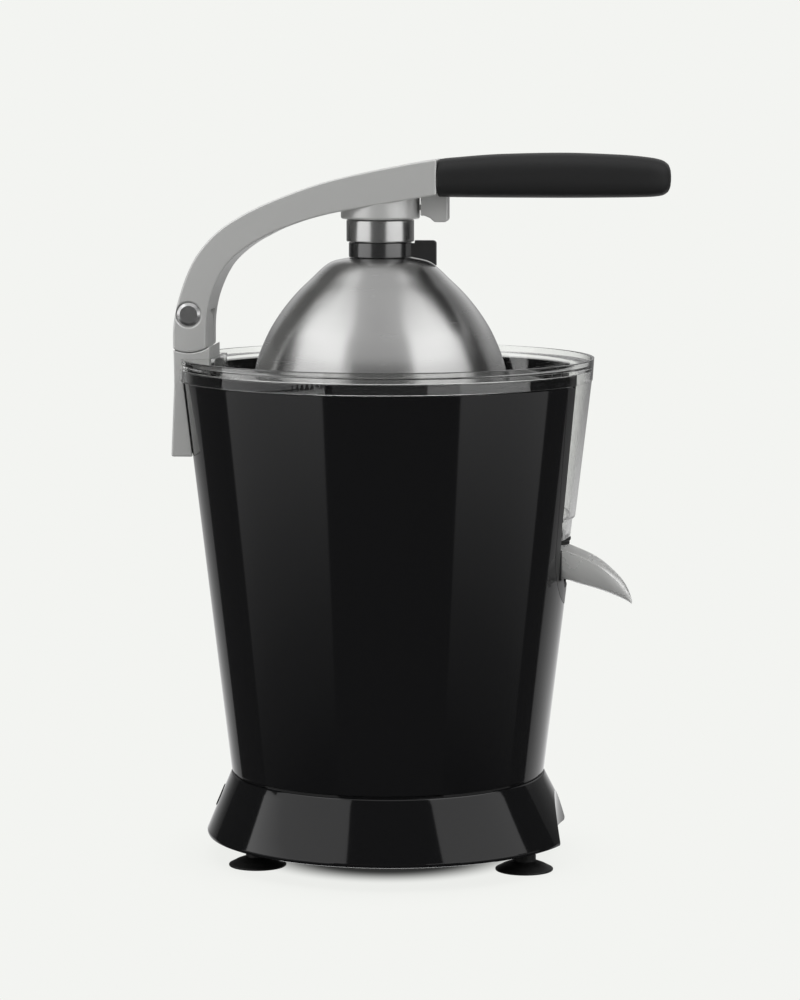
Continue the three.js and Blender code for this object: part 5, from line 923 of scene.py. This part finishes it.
def trough(name, wall, rows):
    """The spout's round-bottomed form, or the hollow inside it by a wall."""
    rings = []
    for along, rim, keel, half in rows:
        half = max(half - wall, 0.25)
        keel = min(keel + wall, rim - 0.25)
        x = SPOUT_X + along
        turns = [math.pi + math.pi * i / 32 for i in range(33)]
        ring = [(x, half * math.cos(turn), rim + (rim - keel) * math.sin(turn)) for turn in turns]
        if wall:
            ring += [(x, half, rim + 6), (x, -half, rim + 6)]
        rings.append(ring)
    if wall:
        rings.insert(0, [(x - 4, y, z) for x, y, z in rings[0]])
        rings.append([(x + 4, y, z - 1.2) for x, y, z in rings[-1]])
    return loft(name, rings, 35)


spout_rows = spline_rows(SPOUT_ROWS, 5)
spout = trough("spout_fine", 0, spout_rows)
cut(spout, trough("trough_in", 1.2, spout_rows))
soften(spout, 0.3, 2, 50)
finish_piece(spout, SPOUTSTEEL, "spout_unit", "brushed_steel", "spout")

holder = slab("holder_fine", (TILT_X - 6.5, -24.2, TILT_Z - 5), (TILT_X + 7.2, 24.2, TILT_Z + 8.3))
cradle = [
    (15.9, TILT_Z), (-15.9, TILT_Z), (-15.9, TILT_Z - 5),
    (-10.4, TILT_Z - 9.8), (10.4, TILT_Z - 9.8), (15.9, TILT_Z - 5),
]
join(holder, prism("cradle", cradle, TILT_X - 6.5, TILT_X + 7.2, "X"))
soften(holder, 0.5, 2, 40)
cut(holder, slab("basin", (TILT_X - 4.1, -BASIN_HALF, 138), (77.7, BASIN_HALF, 156)),
    trough("trough_room", -0.3, [(-0.3, 151.7, 136.2, 14.7)] + spout_rows),
    slab("basin_top", (SPOUT_X, -BASIN_HALF, 143.5), (TILT_X + 12, BASIN_HALF, 156)))
trunnions = rod("trunnion", 2.5, -27.4, 27.4, TILT_X, sides=48, axis="Y", z=TILT_Z)
cut(trunnions, slab(
    "trunnion_gap", (TILT_X - 10, -BASIN_HALF, TILT_Z - 6), (TILT_X + 10, BASIN_HALF, TILT_Z + 12)))
join(holder, trunnions)
finish_piece(holder, BLACK, "spout_unit", "black_plastic", "spout_block")


def slot_shell(name, outer, inner, grow):
    """A layer of the housing's cone between two offsets, within the front opening grown by a margin."""
    shell = cone_solid(name, outer, 110, 231)
    cut(shell, cone_solid(name + "_in", inner, 100, 240))
    return keep(shell, prism(name + "_slot", slot_outline(grow), 0, 130, "X"))


bezel = slot_shell("bezel_fine", 0, -WALL, -0.3)
lip = slot_shell("bezel_lip", -1.9, -3.7, 3)
join(bezel, slot_shell("bezel_bridge", -1.5, -2.2, -0.3), lip)
opening = chute_outline(0.4, 166.4, 236)[:2] + [
    (-30.2, CHUTE_FOOT), (-24.6, 137.6), (-16.3, 137.6), (-10.8, 132.8),
    (10.8, 132.8), (16.3, 137.6), (24.6, 137.6), (30.2, CHUTE_FOOT),
]
cut(bezel, prism("bezel_open", opening, 0, 130, "X"))
for side in (-1, 1):
    ear = prism(
        "ear", [(TILT_X + 12, TILT_Z - EAR_RADIUS), (TILT_X + 12, TILT_Z + EAR_RADIUS)]
        + arc(TILT_X, TILT_Z, EAR_RADIUS, 90, 270, 16), 24.6 * side, 28.0 * side)
    keep(ear, cone_solid("ear_in", -WALL, 100, 200))
    join(bezel, ear)
cut(bezel, rod("ear_bore", 2.65, -40, 40, TILT_X, sides=48, axis="Y", z=TILT_Z))
finish_piece(bezel, BLACK, "press_body", "black_plastic", "spout_bezel")

# Stage: a pale seamless ground, soft lamps, and plain cards that only reflections see

PALE = (0.896, 0.905, 0.880)
PAPER = (0.8, 0.8, 0.8)
# Painted shadow under the press: the ground is this dark there, and it clears between these distances from
# the axis, in metres
UNDER_SHADOW_TONE, UNDER_SHADOW_FROM, UNDER_SHADOW_TO = 0.04, 0.042, 0.07
# Painted contact shadow round the press: the ground is a little dimmer where less open air stands over it
CONTACT_SHADOW_TONE, CONTACT_SHADOW_FROM, CONTACT_SHADOW_TO, CONTACT_SHADOW_REACH = 0.93, 0.3, 0.85, 0.08


def mirrored_before(tree, path):
    """One where the ray was mirrored on its way, nought where it came straight or through clear plastic."""
    return worked(tree, "MINIMUM", path.outputs["Glossy Depth"], 1)


def seen_ray(tree, path):
    """One for the rays that the eye sends out, also behind clear plastic."""
    return worked(tree, "MAXIMUM", path.outputs["Is Camera Ray"], path.outputs["Is Transmission Ray"])


def bare_material(name):
    """A material with nothing in it but its output."""
    mat = bpy.data.materials.new(name)
    mat.use_nodes = True
    mat.node_tree.nodes.clear()
    return mat, mat.node_tree, mat.node_tree.nodes.new("ShaderNodeOutputMaterial").inputs["Surface"]


def ground_material():
    """White paper to the light; to the eye the backdrop's own tone, with a painted shadow that darkens it
    where the press stands close.
    """
    mat, tree, surface = bare_material("ground")
    n, link = tree.nodes, tree.links.new
    path = n.new("ShaderNodeLightPath")
    coords = n.new("ShaderNodeTexCoord")
    reach = n.new("ShaderNodeVectorMath")
    reach.operation = "DISTANCE"
    reach.inputs[1].default_value = (SHIFT * MM, 0, 0)
    link(coords.outputs["Object"], reach.inputs[0])
    # Painted shadow: the ground's glow to the eye dims towards the press's axis
    under = ranged(tree, reach.outputs["Value"], UNDER_SHADOW_FROM, UNDER_SHADOW_TO, UNDER_SHADOW_TONE, 1, "SMOOTHSTEP")
    # Painted contact shadow: occlusion near the press dims the ground's glow to the eye
    shadow_occlusion = n.new("ShaderNodeAmbientOcclusion")
    shadow_occlusion.inputs["Distance"].default_value = CONTACT_SHADOW_REACH
    shadow_occlusion.samples = 16
    contact_shadow = ranged(tree, shadow_occlusion.outputs["AO"], CONTACT_SHADOW_FROM, CONTACT_SHADOW_TO, CONTACT_SHADOW_TONE, 1)
    # The two painted shadows set the strength of the ground's glow as the eye sees it
    tone = n.new("ShaderNodeEmission")
    tone.inputs["Color"].default_value = (*PALE, 1)
    link(worked(tree, "MULTIPLY", under, contact_shadow), tone.inputs["Strength"])
    paper = plain_shader(tree, "ShaderNodeBsdfDiffuse", PAPER)
    unseen = plain_shader(tree, "ShaderNodeBsdfTransparent", (1, 1, 1))
    shown = mixed(tree, seen_ray(tree, path), paper, tone.outputs[0])
    left_out = worked(tree, "MULTIPLY", path.outputs["Is Transmission Ray"], mirrored_before(tree, path))
    link(mixed(tree, left_out, shown, unseen), surface)
    return mat


bpy.ops.mesh.primitive_plane_add(size=14, location=(0, 0, -0.0002))
floor = bpy.context.object
floor.name = "floor"
floor.data.materials.append(ground_material())
floor.visible_glossy = False


def studio_world():
    """A pale fill to the light, the backdrop's tone to the eye, and nearly nothing to reflections."""
    world = bpy.data.worlds.new("studio")
    bpy.context.scene.world = world
    world.use_nodes = True
    tree = world.node_tree
    path = tree.nodes.new("ShaderNodeLightPath")
    fill = tree.nodes["Background"]
    fill.inputs["Color"].default_value = (*PALE, 1)
    fill.inputs["Strength"].default_value = 0.7
    seen = plain_shader(tree, "ShaderNodeBackground", PALE, 1)
    dim = plain_shader(tree, "ShaderNodeBackground", (1, 1, 1), 0.03)
    bounced = worked(tree, "MAXIMUM", path.outputs["Is Glossy Ray"], path.outputs["Is Transmission Ray"])
    straight = worked(tree, "SUBTRACT", seen_ray(tree, path), mirrored_before(tree, path), clamp=True)
    unseen = mixed(tree, bounced, fill.outputs[0], dim)
    tree.links.new(mixed(tree, straight, unseen, seen), tree.nodes["World Output"].inputs["Surface"])


studio_world()


def card_material(name, levels, sides=(1, 1)):
    """A glow whose strength runs through the given heights in metres and from one side to the other."""
    mat, tree, surface = bare_material(name)
    n, link = tree.nodes, tree.links.new
    coords = n.new("ShaderNodeTexCoord")
    split = n.new("ShaderNodeSeparateXYZ")
    link(coords.outputs["Object"], split.inputs[0])
    low, high = levels[0][0], levels[-1][0]
    ramp = n.new("ShaderNodeValToRGB")
    link(ranged(tree, split.outputs["Z"], low, high, 0, 1), ramp.inputs["Fac"])
    stops = ramp.color_ramp.elements
    while len(stops) < len(levels):
        stops.new(0.5)
    peak = max(strength for _, strength in levels)
    for stop, (height, strength) in zip(stops, levels):
        stop.position = (height - low) / (high - low)
        stop.color = (*([strength / peak] * 3), 1)
    across = n.new("ShaderNodeAttribute")
    across.attribute_name = "across"
    glow = n.new("ShaderNodeEmission")
    link(ramp.outputs["Color"], glow.inputs["Color"])
    link(ranged(tree, across.outputs["Fac"], 0, 1, peak * sides[0], peak * sides[1]), glow.inputs["Strength"])
    unseen = plain_shader(tree, "ShaderNodeBsdfTransparent", (1, 1, 1))
    path = n.new("ShaderNodeLightPath")
    link(mixed(tree, mirrored_before(tree, path), unseen, glow.outputs[0]), surface)
    mat.cycles.emission_sampling = "NONE"
    return mat


def reflected_only(obj, levels, sides=(1, 1)):
    """Makes a shape a glowing card that nothing but a reflection shows."""
    obj.data.materials.append(card_material(obj.name, levels, sides))
    for kind in ("camera", "diffuse", "shadow", "volume_scatter"):
        setattr(obj, f"visible_{kind}", False)


# The bearing that the camera looks from, in degrees, the cards' distance in metres and their facets
VIEW_BEARING, CARD_RADIUS, CARD_STEPS = -85.8, 1.2, 24


def card(name, start, end, levels, radius=CARD_RADIUS, sides=(1, 1)):
    """A curved card round the press between two bearings, counted from the camera towards the front."""
    bm = bmesh.new()
    across = bm.verts.layers.float.new("across")
    first, span = math.radians(VIEW_BEARING + start), math.radians(end - start)
    upright = [
        bm.verts.new((radius * math.cos(first), radius * math.sin(first), level[0]))
        for level in (levels[0], levels[-1])
    ]
    bmesh.ops.spin(
        bm, geom=upright + [bm.edges.new(upright)], cent=(0, 0, 0), axis=(0, 0, 1), dvec=(0, 0, 0),
        angle=span, steps=CARD_STEPS, use_merge=False, use_duplicate=False,
    )
    for corner in bm.verts:
        bearing = math.atan2(corner.co.y, corner.co.x)
        corner[across] = math.remainder(bearing - first, math.tau) / span
    mesh = bpy.data.meshes.new(name)
    bm.to_mesh(mesh)
    bm.free()
    obj = bpy.data.objects.new(name, mesh)
    bpy.context.scene.collection.objects.link(obj)
    reflected_only(obj, levels, sides)


# Heights in metres, each with the card's strength there
LOW = [(-0.45, 0), (-0.4, 0.03), (-0.29, 0.13), (-0.2, 0.3), (-0.08, 0.62), (0.02, 0.9)]
LEVEL = [(0.02, 0.5), (0.05, 0.02), (0.165, 0.02), (0.185, 1.5), (0.32, 1.6), (0.45, 1.0)]
RAISED = [(0.45, 0.95), (0.85, 0.95)]
UPPER = [(0.85, 1.3), (1.0, 1.9), (1.3, 1.8), (1.7, 1.5), (2.3, 1.4)]
for tier, levels, left, right in (
    ("low", LOW, (-100, -36), (40, 100)),
    ("level", LEVEL, (-98, -34), (20, 82)),
    ("raised", RAISED, (-88, -28), (32, 93)),
    ("upper", UPPER, (-104, -38), (31, 98)),
):
    even = (0.65, 1.15) if tier == "low" else (1, 1)
    card("card_left_" + tier, *left, levels, sides=even)
    card("card_right_" + tier, *right, levels, sides=even[::-1])
BEHIND = [
    (-0.6, 0.8), (-0.2, 0.75), (-0.1, 0.55), (0, 0.42), (0.1, 0.18),
    (0.3, 0.2), (0.55, 0.6), (1.0, 0.3), (1.5, 0.3),
]
card("card_behind_left", -180, -134, BEHIND, sides=(1.7, 0.45))
card("card_behind_right", 120, 180, BEHIND, sides=(0.5, 1.7))
card("card_front", -30, 32, [(0.16, 0.2), (0.35, 0.2)], 1.3)
card("card_high", -40, 34, [(0.95, 0.72), (2.3, 0.72)])
card("card_dim_left", -125, -104, [(0.85, 0.5), (2.3, 0.5)])
card("card_dim_right", 98, 125, [(0.85, 0.5), (2.3, 0.5)])
for name, x, wide, strength in (("left", -1.1, 0.8, 1.1), ("middle", 0, 1.4, 0.68), ("right", 1.1, 0.8, 1.1)):
    bpy.ops.mesh.primitive_plane_add(size=1, location=(x, 0, 2.32))
    ceiling = bpy.context.object
    ceiling.name = "card_above_" + name
    ceiling.scale = (wide, 2.2, 1)
    reflected_only(ceiling, [(-1, strength), (1, strength)])


def softbox(name, at, size, watts, to=(0, 0, 0.2)):
    """A soft oblong lamp at a place, turned towards the press."""
    lamp = bpy.data.lights.new(name, "AREA")
    lamp.shape = "RECTANGLE"
    lamp.size, lamp.size_y = size
    lamp.energy = watts
    obj = bpy.data.objects.new(name, lamp)
    bpy.context.scene.collection.objects.link(obj)
    obj.location = at
    obj.rotation_mode = "QUATERNION"
    obj.rotation_quaternion = (Vector(to) - Vector(at)).to_track_quat("-Z", "Y")
    obj.visible_glossy = False


softbox("lamp_left", (-1.3, -1.2, 1.3), (1.0, 1.0), 12)
softbox("lamp_right", (1.4, -1.0, 1.3), (1.0, 1.0), 9)
softbox("lamp_top", (0.0, 0.2, 1.8), (1.4, 1.2), 12)

# Camera, as fitted to the photo

CAMERA_AT = place(137.56, -1673.47, 366.7)
CAMERA_TURN, CAMERA_PITCH = math.radians(4.5), 0.11481
camera_data = bpy.data.cameras.new("camera")
camera_data.sensor_width = 36
camera_data.lens = 126
camera_data.clip_start, camera_data.clip_end = 0.05, 30
camera = bpy.data.objects.new("camera", camera_data)
bpy.context.scene.collection.objects.link(camera)
camera.location = CAMERA_AT
camera.rotation_mode = "XYZ"
camera.rotation_euler = (math.pi / 2 - CAMERA_PITCH, 0, CAMERA_TURN)
bpy.context.scene.camera = camera
bpy.context.scene.view_settings.view_transform = "Standard"
bpy.context.scene.view_settings.look = "None"
